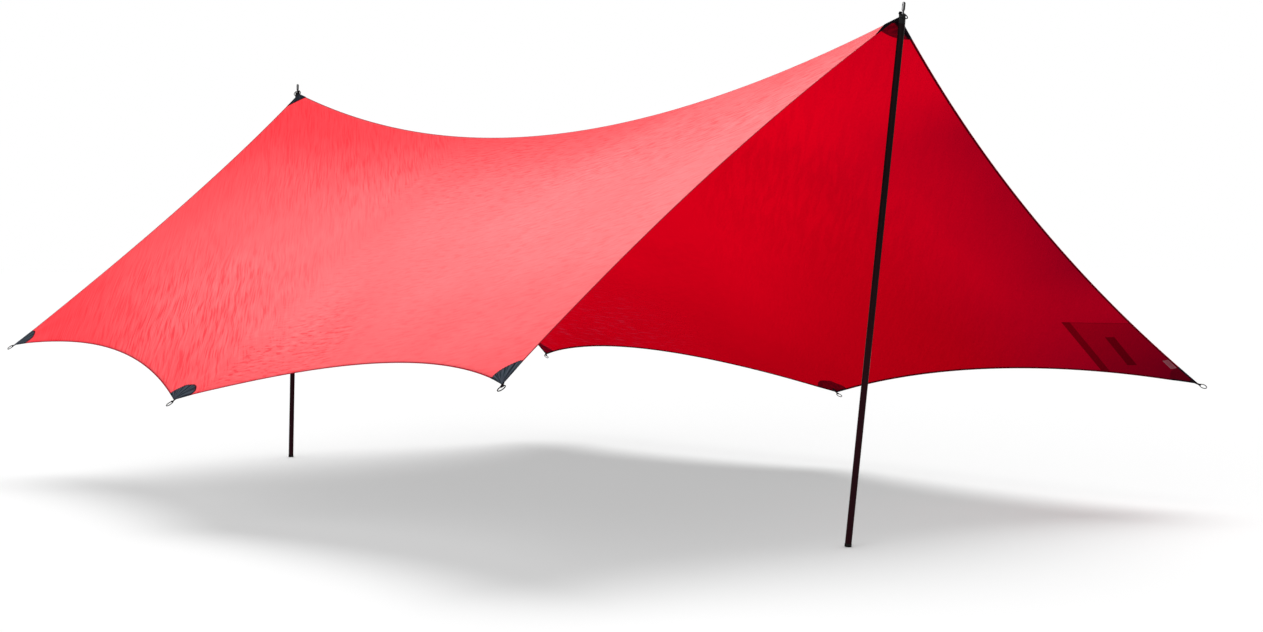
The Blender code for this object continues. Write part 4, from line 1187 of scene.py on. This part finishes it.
ringSteel = makeRingSteel()
webbing = makeWebbing()
ringPieces, loopPieces = {}, []
for spot, kind in (
    ("near_left", "corner"), ("near_right", "corner"), ("far_left", "corner"), ("far_right", "corner"),
    ("near", "side"), ("far", "side")
):
    ringNode = f"{kind}_ring_{spot}"
    ring, eye, heading, sideways = buildRing(
        ringNode, ringNode + "_swing", tieOut["ringRadius"], tieOut["wire"], ringSteel
    )
    up = np.cross(heading, sideways)
    if up[2] < 0:
        up, sideways = -up, -sideways
    path = [(-tieOut["reach"] - tieOut["tail"], 0.0), (0.0, 0.0)]
    radius = eyeRadiusFor(tieOut["ringRadius"], tieOut["wire"], tieOut["width"])
    loopPieces.append(
        buildLoop(
            f"{kind}_loop_{spot}", path, radius, tieOut["width"], (eye, heading, up, sideways), webbing
        )
    )
    ringPieces[spot] = ring
print("hem rings and loops made:", len(ringPieces))


# Poles

pole = {
    "diameter": 0.025, "wall": 0.0012, "fit": 0.0003, "gap": 0.0003, "ferrule": 0.120,
    "ferruleWall": 0.0012, "footDiameter": 0.027, "foot": 0.012, "footPlug": 0.022, "cap": 0.035,
    "capTop": 0.022, "capPlug": 0.025, "neck": 0.0085, "head": 0.0125, "neckLength": 0.013,
    "spigotRise": 0.045, "shank": 0.030, "hole": 0.0045, "holeRise": 0.033, "capOverPeak": 0.009,
    "tipInset": 0.0155, "sides": 72,
    "footPoints": {"left": (-2.200, -0.072, 0.0), "right": (2.043, -0.078, 0.0)},
}


def turned(name, profile, base, closed=False, sides=None):
    # The profile of (radius, height) carried round the axis; its ends on the axis are closed with fans.
    origin, xAxis, yAxis, axis = base
    sides = sides or pole["sides"]
    profile = np.array(profile, dtype=float)
    startsInside, endsInside = profile[0, 0] == 0 and not closed, profile[-1, 0] == 0 and not closed
    rings = profile[(1 if startsInside else 0):(len(profile) - 1 if endsInside else len(profile))]
    angle = np.linspace(0, 2 * math.pi, sides, endpoint=False)[None, :, None]
    radial = np.cos(angle) * xAxis + np.sin(angle) * yAxis
    points = (origin + rings[:, None, :1] * radial + rings[:, None, 1:] * axis).reshape(-1, 3)
    faces = [gridQuads(len(rings), sides, closedRows=closed, closedColumns=True)]
    around = np.arange(sides)
    if startsInside:
        points = np.vstack((points, origin + profile[0, 1] * axis))
        faces.append(np.stack((np.full(sides, len(points) - 1), around, (around + 1) % sides), -1))
    if endsInside:
        points = np.vstack((points, origin + profile[-1, 1] * axis))
        last = (len(rings) - 1) * sides
        faces.append(
            np.stack((np.full(sides, len(points) - 1), last + (around + 1) % sides, last + around), -1)
        )
    return putMesh(name, points, faces)


def rounded(corner, before, after, radius):
    # Points of a small arc in place of a sharp corner of a profile.
    corner, before, after = (np.array(p, dtype=float) for p in (corner, before, after))
    a, b = corner + unit(before - corner) * radius, corner + unit(after - corner) * radius
    t = np.linspace(0, 1, 5)[:, None]
    return [tuple(p) for p in (1 - t) ** 2 * a + 2 * t * (1 - t) * corner + t**2 * b]


def roundedProfile(profile, radii, closed=False):
    # radii gives the fillet at each corner, 0 where it stays as it is.
    made = []
    count = len(profile)
    for at, (corner, radius) in enumerate(zip(profile, radii)):
        if radius == 0 or (not closed and at in (0, count - 1)):
            made.append(corner)
        else:
            made += rounded(corner, profile[at - 1], profile[(at + 1) % count], radius)
    return made


def makeAnodised():
    # Black anodised tube: fine drawn lines down the tube, a maroon cast low down that is a painted
    # reflection of the red cloth, and dull scuffs.
    made, tree, shader = startMaterial("blackAnodised", roughness=0.34, specular=0.10, ior=1.22)
    place = placeOf(tree)
    drawn = noiseOf(tree, stretched(tree, place, (900.0, 900.0, 6.0)), 1.0, 3.0, 0.6)
    scuff = noiseOf(tree, stretched(tree, place, (60.0, 60.0, 14.0)), 1.0, 4.0, 0.65)
    _, _, height = partsOf(tree, place)
    paintedClothReflection = ramp(tree, height, 0.45, 1.35, 1.0, 0.25)
    black = blendColour(
        tree, ramp(tree, drawn, 0.3, 0.7), (0.0022, 0.0018, 0.0020), (0.0050, 0.0040, 0.0044)
    )
    maroon = blendColour(
        tree, ramp(tree, drawn, 0.3, 0.7), (0.0120, 0.0022, 0.0040), (0.0210, 0.0045, 0.0070)
    )
    colour = blendColour(tree, paintedClothReflection, black, maroon)
    colour = blendColour(tree, ramp(tree, scuff, 0.64, 0.76, 0.0, 0.6), colour, (0.030, 0.024, 0.024))
    tree.links.new(colour, shader.inputs["Base Color"])
    tree.links.new(ramp(tree, scuff, 0.35, 0.7, 0.30, 0.46), shader.inputs["Roughness"])
    relief(tree, shader, drawn, 0.00004)
    return made


def makeCapPlastic():
    made, tree, shader = startMaterial("capPlastic", roughness=0.48, specular=0.16, ior=1.35)
    place = placeOf(tree)
    grain = noiseOf(tree, place, 1600.0, 3.0, 0.6)
    cloud = noiseOf(tree, place, 45.0, 2.0, 0.5)
    colour = blendColour(tree, cloud, (0.003, 0.003, 0.0035), (0.009, 0.0085, 0.009))
    tree.links.new(colour, shader.inputs["Base Color"])
    tree.links.new(ramp(tree, cloud, 0.3, 0.7, 0.42, 0.58), shader.inputs["Roughness"])
    relief(tree, shader, grain, 0.00006)
    return made


def makeRubber():
    made, tree, shader = startMaterial("footRubber", roughness=0.82, specular=0.12)
    place = placeOf(tree)
    grain = noiseOf(tree, place, 900.0, 4.0, 0.65)
    dust = ramp(tree, noiseOf(tree, place, 110.0, 4.0, 0.6), 0.52, 0.75)
    colour = blendColour(
        tree, sums(tree, "MULTIPLY", dust, 0.5), (0.007, 0.006, 0.006), (0.050, 0.045, 0.040)
    )
    tree.links.new(colour, shader.inputs["Base Color"])
    relief(tree, shader, grain, 0.00012)
    return made


def makeSpigotSteel():
    # Plated steel, turned; painted light by which way the surface faces: dull grey as a painted highlight
    # on one side, near black as painted shade on the other.
    made, tree, shader = startMaterial("spigotSteel", metallic=1.0, roughness=0.25)
    shader.inputs["Specular Tint"].default_value = (0.30, 0.30, 0.30, 1.0)
    place = placeOf(tree)
    turnedLines = noiseOf(tree, stretched(tree, place, (40.0, 40.0, 2600.0)), 1.0, 2.0, 0.6)
    facing, paintedLightSide = tree.nodes.new("ShaderNodeTexCoord").outputs["Normal"], tree.nodes.new(
        "ShaderNodeVectorMath"
    )
    paintedLightSide.operation = "DOT_PRODUCT"
    tree.links.new(facing, paintedLightSide.inputs[0])
    paintedLightSide.inputs[1].default_value = (0.624, 0.781, 0.0)
    tone = sums(
        tree, "ADD", ramp(tree, paintedLightSide.outputs["Value"], -0.80, 0.10, 0.9, 0.0),
        sums(tree, "MULTIPLY", ramp(tree, turnedLines, 0.3, 0.7), 0.1)
    )
    colour = blendColour(tree, tone, (0.004, 0.004, 0.0045), (0.46, 0.46, 0.47))
    tree.links.new(colour, shader.inputs["Base Color"])
    tree.links.new(ramp(tree, turnedLines, 0.3, 0.7, 0.18, 0.32), shader.inputs["Roughness"])
    relief(tree, shader, turnedLines, 0.00003)
    return made


def makeDullAluminium():
    # Hard anodised: dull dark grey, with lines drawn down the tube and rubbed spots.
    made, tree, shader = startMaterial("dullAluminium", metallic=1.0, roughness=0.38)
    place = placeOf(tree)
    drawn = noiseOf(tree, stretched(tree, place, (1100.0, 1100.0, 8.0)), 1.0, 3.0, 0.6)
    rubbed = noiseOf(tree, stretched(tree, place, (90.0, 90.0, 30.0)), 1.0, 3.0, 0.6)
    colour = blendColour(tree, ramp(tree, rubbed, 0.35, 0.7), (0.030, 0.030, 0.032), (0.075, 0.075, 0.078))
    tree.links.new(colour, shader.inputs["Base Color"])
    tree.links.new(ramp(tree, drawn, 0.3, 0.7, 0.30, 0.46), shader.inputs["Roughness"])
    relief(tree, shader, drawn, 0.00004)
    return made


poleFinishes = {
    "tube": makeAnodised(), "cap": makeCapPlastic(), "foot": makeRubber(),
    "spigot": makeSpigotSteel(), "ferrule": makeDullAluminium(),
}


def drilled(piece, tool):
    cut = piece.modifiers.new("hole", "BOOLEAN")
    cut.operation = "DIFFERENCE"
    cut.solver = "EXACT"
    cut.object = tool
    bpy.context.view_layer.update()
    finished = bpy.data.meshes.new_from_object(piece.evaluated_get(bpy.context.evaluated_depsgraph_get()))
    piece.modifiers.clear()
    piece.data = finished
    bpy.data.objects.remove(tool, do_unlink=True)


def buildPole(side, outSign, finishes):
    values = pole
    foot = np.array(values["footPoints"][side]) + planShift
    peak = tiePoints["peak" + side.capitalize()]
    top = peak + np.array((outSign * values["tipInset"], 0.0, values["capOverPeak"]))
    lean = math.acos((top - foot)[2] / np.linalg.norm(top - foot))
    origin = foot + np.array((0.0, 0.0, values["footDiameter"] / 2 * math.sin(lean)))
    axis = unit(top - origin)
    length = float(np.linalg.norm(top - origin))
    yAxis = unit(np.cross(axis, (1.0, 0.0, 0.0)))
    base = (origin, np.cross(yAxis, axis), yAxis, axis)
    radius = values["diameter"] / 2
    bore = radius - values["wall"]
    low = values["foot"] + values["gap"]
    section = (length - values["cap"] - values["gap"] - low - 2 * values["gap"]) / 3
    made = []

    def finish(piece, body, slot, look, node, crisp=35):
        piece.data.set_sharp_from_angle(angle=math.radians(crisp))      # edges that turn by more stay crisp
        dress(piece, body, slot, look)
        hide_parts(node)
        made.append(piece)

    joints = []
    for at, part in enumerate(("lower", "middle", "upper")):
        start = low + at * (section + values["gap"])
        stop = start + section
        sleeve = roundedProfile(
            [(radius, stop), (radius, start), (bore, start), (bore, stop)], [0.0004] * 4, closed=True
        )
        finish(
            turned(f"{part}_tube_{side}_skin", sleeve, base, True), f"pole_{part}_{side}", "pole_aluminium",
            finishes["tube"], f"{part}_tube_{side}"
        )
        joints.append(stop + values["gap"] / 2)

    outer = bore - values["fit"]
    inner = outer - values["ferruleWall"]
    for part, at in (("lower_ferrule", joints[0]), ("upper_ferrule", joints[1])):
        high, lowEnd = at + values["ferrule"] / 2, at - values["ferrule"] / 2
        sleeve = roundedProfile([(outer, high), (outer, lowEnd), (inner, lowEnd), (inner, high)],
                                [0.0008, 0.0008, 0.0002, 0.0002], closed=True)
        carrier = frame["nodes"][f"{part}_{side}"]["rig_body"]
        finish(turned(f"{part}_{side}_skin", sleeve, base, True), carrier, "ferrule_aluminium",
               finishes["ferrule"], f"{part}_{side}")

    f, h = values["footDiameter"] / 2, values["foot"]
    sole = roundedProfile(
        [
            (0.0, h + values["footPlug"]), (bore - values["fit"] - 0.0006, h + values["footPlug"]),
            (bore - values["fit"], h + values["footPlug"] - 0.002), (bore - values["fit"], h), (f, h),
            (f, h * 0.66), (f - 0.0007, h * 0.62), (f - 0.0007, h * 0.52), (f, h * 0.48), (f, 0.0),
            (f * 0.62, 0.0), (f * 0.60, 0.0009), (f * 0.40, 0.0009), (f * 0.38, 0.0), (0.0, 0.0),
        ],
        [0, 0.0004, 0, 0, 0.0010, 0.0002, 0.0002, 0.0002, 0.0002, 0.0014, 0, 0, 0, 0, 0]
    )
    finish(
        turned(f"foot_{side}_boot", sole, base), f"pole_lower_{side}", "foot_rubber", finishes["foot"],
        f"foot_{side}"
    )

    c, hole = length - values["cap"], values["neck"] / 2 + values["fit"]
    shoulder = values["capTop"] / 2
    cap = roundedProfile(
        [
            (hole, length), (shoulder, length), (radius, c + 0.0055), (radius, c + 0.0036),
            (radius - 0.0005, c + 0.0033), (radius - 0.0005, c + 0.0025), (radius, c + 0.0022), (radius, c),
            (bore - values["fit"], c), (bore - values["fit"], c - values["capPlug"] + 0.002),
            (bore - values["fit"] - 0.001, c - values["capPlug"]), (0.0008, c - values["capPlug"]),
            (0.0008, length - values["shank"] - values["fit"]),
            (hole, length - values["shank"] - values["fit"]),
        ],
        [0.0003, 0.0016, 0.0012, 0.0002, 0.0001, 0.0001, 0.0002, 0.0004, 0, 0, 0, 0, 0, 0], closed=True
    )
    finish(
        turned(f"top_cap_{side}_moulding", cap, base, True), f"pole_upper_{side}", "cap_plastic",
        finishes["cap"], f"top_cap_{side}"
    )

    neck, head = values["neck"] / 2, values["head"] / 2
    tip = length + values["spigotRise"]
    dome = np.linspace(math.pi / 2, 0, 12)
    crown = [(head * math.cos(t), tip - head + head * math.sin(t)) for t in dome]
    crown[0] = (0.0, tip)
    lower = roundedProfile([
        crown[-1], (head, length + values["neckLength"] + 0.002), (neck, length + values["neckLength"]),
        (neck, length - values["shank"]), (0.0, length - values["shank"]),
    ], [0, 0.0009, 0.0006, 0.0004, 0])
    spigot = turned(f"spigot_{side}_pin", crown + lower[1:], base)
    at = origin + axis * (length + values["holeRise"]) - yAxis * 0.02
    r = values["hole"] / 2
    tool = turned(
        "drill", [(0.0, 0.0), (r, 0.0), (r, 0.04), (0.0, 0.04)], (at, base[1], axis, yAxis), sides=40
    )
    drilled(spigot, tool)
    finish(spigot, f"pole_upper_{side}", "spigot_steel", finishes["spigot"], f"spigot_{side}", 30)

    # The peak's webbing runs out from under the cloth and up beside the cap to the ring.
    ringNode = f"peak_ring_{side}"
    ring, eye, _, _ = buildRing(
        ringNode, ringNode + "_tilt", tieOut["peakRingRadius"], tieOut["peakWire"], ringSteel
    )
    ringPieces["peak_" + side] = ring
    sideLean = axis[0] / axis[2] * outSign
    slope = 4 * canopy["ridgeSag"] / (tiePoints["peakRight"][0] - tiePoints["peakLeft"][0])
    out, up = np.array((float(outSign), 0.0, 0.0)), np.array((0.0, 0.0, 1.0))
    eyeX = float((eye - top) @ out)

    def besideCap(height):
        share = (-height - 0.001) / (values["cap"] - 0.005)
        capRadius = shoulder + (radius - shoulder) * share
        return sideLean * height - capRadius - tieOut["capClear"]

    start = (-values["tipInset"] - 0.001, -0.0165)
    path = [
        (start[0] - tieOut["tail"], start[1] - tieOut["tail"] * slope), start,
        (besideCap(-0.0135), -0.0135), (besideCap(-0.0010), -0.0010), (eyeX, tieOut["eyeRise"])
    ]
    eyeRadius = eyeRadiusFor(tieOut["peakRingRadius"], tieOut["peakWire"], tieOut["peakWidth"])
    loopPieces.append(
        buildLoop(
            f"peak_loop_{side}", path, eyeRadius, tieOut["peakWidth"], (top, out, up, np.cross(out, up)),
            webbing
        )
    )
    return made


polePieces = buildPole("left", -1, poleFinishes) + buildPole("right", 1, poleFinishes)
print("poles made:", len(polePieces), "pieces")


# Sewn pieces: the stow pocket on one corner, its strips, a blank label, and the ridge tape

def toCornerPlane(points):
    away = points - cornerTip
    return np.stack((away @ cornerIn, away @ cornerSide), -1)


cornerNet = toCornerPlane(net)
cornerNetDi, cornerNetDj = np.gradient(cornerNet, axis=0), np.gradient(cornerNet, axis=1)


def sampled(table, i, j):
    i0, j0 = np.floor(i).astype(int), np.floor(j).astype(int)
    fi, fj = (i - i0)[..., None], (j - j0)[..., None]
    return ((table[i0, j0] * (1 - fi) + table[i0 + 1, j0] * fi) * (1 - fj)
            + (table[i0, j0 + 1] * (1 - fi) + table[i0 + 1, j0 + 1] * fi) * fj)


def cornerToGrid(flat, inset=0.0):
    # Newton steps from the tip find the grid place above each point of the corner's plane.
    i = np.full(flat.shape[:-1], lastColumn - 8.0)
    j = np.full(flat.shape[:-1], lastRow - 8.0)
    for _ in range(14):
        miss = flat - sampled(cornerNet, i, j)
        a, b = sampled(cornerNetDi, i, j), sampled(cornerNetDj, i, j)
        det = a[..., 0] * b[..., 1] - a[..., 1] * b[..., 0]
        i = np.clip(
            i + (miss[..., 0] * b[..., 1] - miss[..., 1] * b[..., 0]) / det, midColumn,
            lastColumn - 1e-4 - inset
        )
        j = np.clip(
            j + (a[..., 0] * miss[..., 1] - a[..., 1] * miss[..., 0]) / det, ridgeRow,
            lastRow - 1e-4 - inset
        )
    return i, j


def crossing(line, start, direction):
    # Where a straight line crosses a polyline.
    start, direction = np.array(start), np.array(direction)
    off = (line[:, 0] - start[0]) * direction[1] - (line[:, 1] - start[1]) * direction[0]
    at = int(np.argmax(off[:-1] * off[1:] <= 0))
    f = off[at] / (off[at] - off[at + 1])
    return line[at] * (1 - f) + line[at + 1] * f


def straight(a, b, count):
    t = np.linspace(0, 1, count)[:, None]
    return np.array(a) * (1 - t) + np.array(b) * t


def bent(points, count):
    # Even steps along a line of several straight parts.
    points = np.array(points)
    length = np.concatenate(([0.0], np.cumsum(np.linalg.norm(np.diff(points, axis=0), axis=-1))))
    at = np.linspace(0, length[-1], count)
    return np.stack([np.interp(at, length, points[:, k]) for k in range(2)], -1)


def spanned(low, high, left, right):
    # Surface between four lines that meet at their ends.
    s = np.linspace(0, 1, len(low))[:, None, None]
    t = np.linspace(0, 1, len(left))[None, :, None]
    return ((1 - t) * low[:, None] + t * high[:, None] + (1 - s) * left[None] + s * right[None]
            - (1 - s) * (1 - t) * low[0] - s * (1 - t) * low[-1] - (1 - s) * t * high[0] - s * t * high[-1])


def sewOn(name, flat, lift, thickness, node, slot, finish, puff=0.0, inset=0.0):
    i, j = cornerToGrid(flat, inset)
    points, normals = onCloth(i, j)
    s = np.linspace(0, 1, flat.shape[0])[:, None]
    t = np.linspace(0, 1, flat.shape[1])[None, :]
    bulge = puff * (np.sin(math.pi * s) * np.sin(math.pi * t)) ** 0.6 * (0.8 + 0.2 * np.sin(9 * s + 5 * t))
    width = np.linalg.norm(flat[:, -1] - flat[:, 0], axis=-1).mean()
    length = np.linalg.norm(flat[-1] - flat[0], axis=-1).mean()
    uv = np.stack(np.broadcast_arrays(s * length, t * width), -1)
    piece = putShell(name, points, normals, lift + bulge, thickness, {"sewn": uv})
    dress(piece, "canopy", slot, finish)
    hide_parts(node)
    return piece


def makeSewnCloth(name, low, high, width, length, weave=1100.0, threadColour=(0.10, 0.004, 0.008)):
    # Plain woven strip with a stitch line inside its edges.
    made, tree, shader = startMaterial(name, roughness=0.68, specular=0.08)
    uv = uvOf(tree, "sewn")
    along, across, _ = partsOf(tree, uv)
    grain = noiseOf(tree, stretched(tree, uv, (weave, weave * 0.6, 1.0)), 1.0, 2.0, 0.6)
    soft = noiseOf(tree, uv, 26.0, 3.0, 0.55)
    tone = sums(tree, "ADD", sums(tree, "MULTIPLY", grain, 0.35), sums(tree, "MULTIPLY", soft, 0.65))
    colour = blendColour(tree, ramp(tree, tone, 0.34, 0.66), low, high)
    thread = None
    for first, second, edge in (
        (along, across, 0.003), (along, across, width - 0.003), (across, along, 0.003),
        (across, along, length - 0.003)
    ):
        line = dashes(tree, first, second, edge, 0.0032, 0.0009)
        thread = line if thread is None else sums(tree, "MAXIMUM", thread, line)
    colour = blendColour(tree, thread, colour, threadColour)
    tree.links.new(colour, shader.inputs["Base Color"])
    relief(tree, shader, sums(tree, "ADD", tone, sums(tree, "MULTIPLY", thread, 0.8)), 0.0005)
    return made


hemLine = cornerNet[::-1][:110, lastRow]
sideLine = cornerNet[lastColumn, ::-1][:lastRow - ridgeRow]
hemEnd = crossing(hemLine, mouthOuter, mouthRun)
sideEnd = crossing(sideLine, mouthOuter, topRun)
depth = sewn["pocketDepthFromTip"]
hemDeep = crossing(hemLine, (depth, 0.0), (0.0, 1.0))
sideDeep = crossing(sideLine, (depth, 0.0), (0.0, 1.0))
clear = mouthRun * sewn["edgeClear"]
pocketFlat = spanned(
    straight(mouthOuter, hemEnd - clear, 49), straight(sideEnd, sideDeep, 49),
    straight(mouthOuter, sideEnd, 33), bent([hemEnd - clear, hemDeep, sideDeep], 33),
)
pocketCloth = makeSewnCloth("pocketCloth", (0.60, 0.030, 0.045), (0.82, 0.055, 0.075), 9.0, 9.0)
sewOn("stow_pocket_bag", pocketFlat, sewn["pocketLift"], sewn["pocketThickness"], "stow_pocket",
      "canopy_cloth", pocketCloth, puff=sewn["puff"], inset=0.14)

stripOuter, stripInner = mouthOuter + mouthRun * 0.0015 - mouthAcross * 0.001, mouthTop + mouthRun * 0.0015
stripOuterEnd, stripInnerEnd = crossing(
    hemLine, stripOuter, mouthRun
) - clear, crossing(hemLine, stripInner, mouthRun) - clear
stripFlat = spanned(straight(stripOuter, stripOuterEnd, 41), straight(stripInner, stripInnerEnd, 41),
                    straight(stripOuter, stripInner, 5), straight(stripOuterEnd, stripInnerEnd, 5))
stripLong = float(np.linalg.norm(stripOuterEnd - stripOuter))
mouthCloth = makeSewnCloth("mouthCloth", (0.46, 0.020, 0.030), (0.62, 0.032, 0.045), 0.026, stripLong)
sewOn(
    "pocket_mouth_hem", stripFlat, sewn["stripLift"] + 0.0006, sewn["stripThickness"], "pocket_mouth_strip",
    "canopy_cloth", mouthCloth, inset=0.14
)

closureMiddle = np.array(sewn["closureMiddle"])
halfLong, halfWide = mouthRun * sewn["closureLength"] / 2, mouthAcross * sewn["closureWidth"] / 2
closureCorners = [closureMiddle - halfLong - halfWide, closureMiddle + halfLong - halfWide,
                  closureMiddle - halfLong + halfWide, closureMiddle + halfLong + halfWide]
closureFlat = spanned(
    straight(closureCorners[0], closureCorners[1], 41), straight(closureCorners[2], closureCorners[3], 41),
    straight(closureCorners[0], closureCorners[2], 11), straight(closureCorners[1], closureCorners[3], 11)
)
closureCloth = makeSewnCloth(
    "closureCloth", (0.030, 0.030, 0.036), (0.075, 0.075, 0.088), sewn["closureWidth"],
    sewn["closureLength"], 700.0, (0.012, 0.012, 0.014)
)
sewOn("pocket_closure_hook_strip", closureFlat, sewn["stripLift"] + sewn["puff"], sewn["stripThickness"],
      "pocket_closure_strip", "closure_strip", closureCloth)

labelCorner, labelRun, labelIn = (np.array(sewn[k]) for k in ("labelCorner", "labelRun", "labelIn"))
labelRun, labelIn = unit(labelRun) * sewn["labelLength"], unit(labelIn) * sewn["labelWidth"]
labelFlat = spanned(
    straight(labelCorner, labelCorner + labelRun, 17),
    straight(labelCorner + labelIn, labelCorner + labelRun + labelIn, 17),
    straight(labelCorner, labelCorner + labelIn, 9),
    straight(labelCorner + labelRun, labelCorner + labelRun + labelIn, 9)
)
labelCloth = makeSewnCloth(
    "labelCloth", (0.16, 0.030, 0.046), (0.24, 0.060, 0.078), sewn["labelWidth"], sewn["labelLength"],
    1500.0, (0.24, 0.15, 0.16)
)
sewOn(
    "blank_label_tab", labelFlat, -sewn["layerGap"] - sewn["labelThickness"], sewn["labelThickness"],
    "blank_label", "label", labelCloth
)


def makeTapeFilm():
    # Seam tape: a slightly glossy film over the stitching, cloudy and with a fine knit pattern.
    made, tree, shader = startMaterial("seamTape", roughness=0.36, specular=0.35)
    uv = uvOf(tree, "tape")
    along, across, _ = partsOf(tree, uv)
    knit = sums(
        tree, "MULTIPLY", sums(tree, "SINE", sums(tree, "MULTIPLY", along, 3900.0)),
        sums(tree, "SINE", sums(tree, "MULTIPLY", across, 3900.0))
    )
    cloud = noiseOf(tree, uv, 90.0, 3.0, 0.6)
    colour = blendColour(tree, cloud, (0.30, 0.001, 0.008), (0.42, 0.002, 0.012))
    tree.links.new(colour, shader.inputs["Base Color"])
    relief(tree, shader, sums(tree, "ADD", sums(tree, "MULTIPLY", knit, 0.3), cloud), 0.0002)
    return made


def buildTape():
    # A narrow band under the ridge, from one peak's webbing to the other's.
    length, steps = edgeSteps(0, ridgeRow, True, 1)
    along = np.linspace(sewn["tapeInset"], length[-1] - sewn["tapeInset"], 361)
    columns = np.interp(along, length, steps)[:, None]
    across = np.array((-1.0, -0.55, -0.12, 0.0, 0.12, 0.55, 1.0))[None, :] * sewn["tapeHalf"]
    cell = np.linalg.norm(net[:, ridgeRow + 1] - net[:, ridgeRow], axis=-1)
    rows = ridgeRow + across / np.interp(columns, np.arange(lastColumn + 1), cell)
    columns, rows = np.broadcast_arrays(columns, rows)
    points, normals = onCloth(columns, rows)
    uv = np.stack(np.broadcast_arrays(along[:, None], across), -1)
    piece = putShell(
        "ridge_seam_tape_film", points, normals, -sewn["tapeDrop"], sewn["tapeThickness"], {"tape": uv}
    )
    dress(piece, "canopy", "canopy_cloth", makeTapeFilm())
    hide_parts("ridge_seam_tape")
    return piece


buildTape()
print("sewn pieces made")

seamLength = float(np.linalg.norm(np.diff(net[:, ridgeRow], axis=0), axis=-1).sum())
print(
    "cloth area", round(spreadOf(net), 3), "ridge", round(seamLength, 3), "length",
    round(float(clothU.max() - clothU.min()), 3), "width", round(float(clothV.max() - clothV.min()), 3)
)
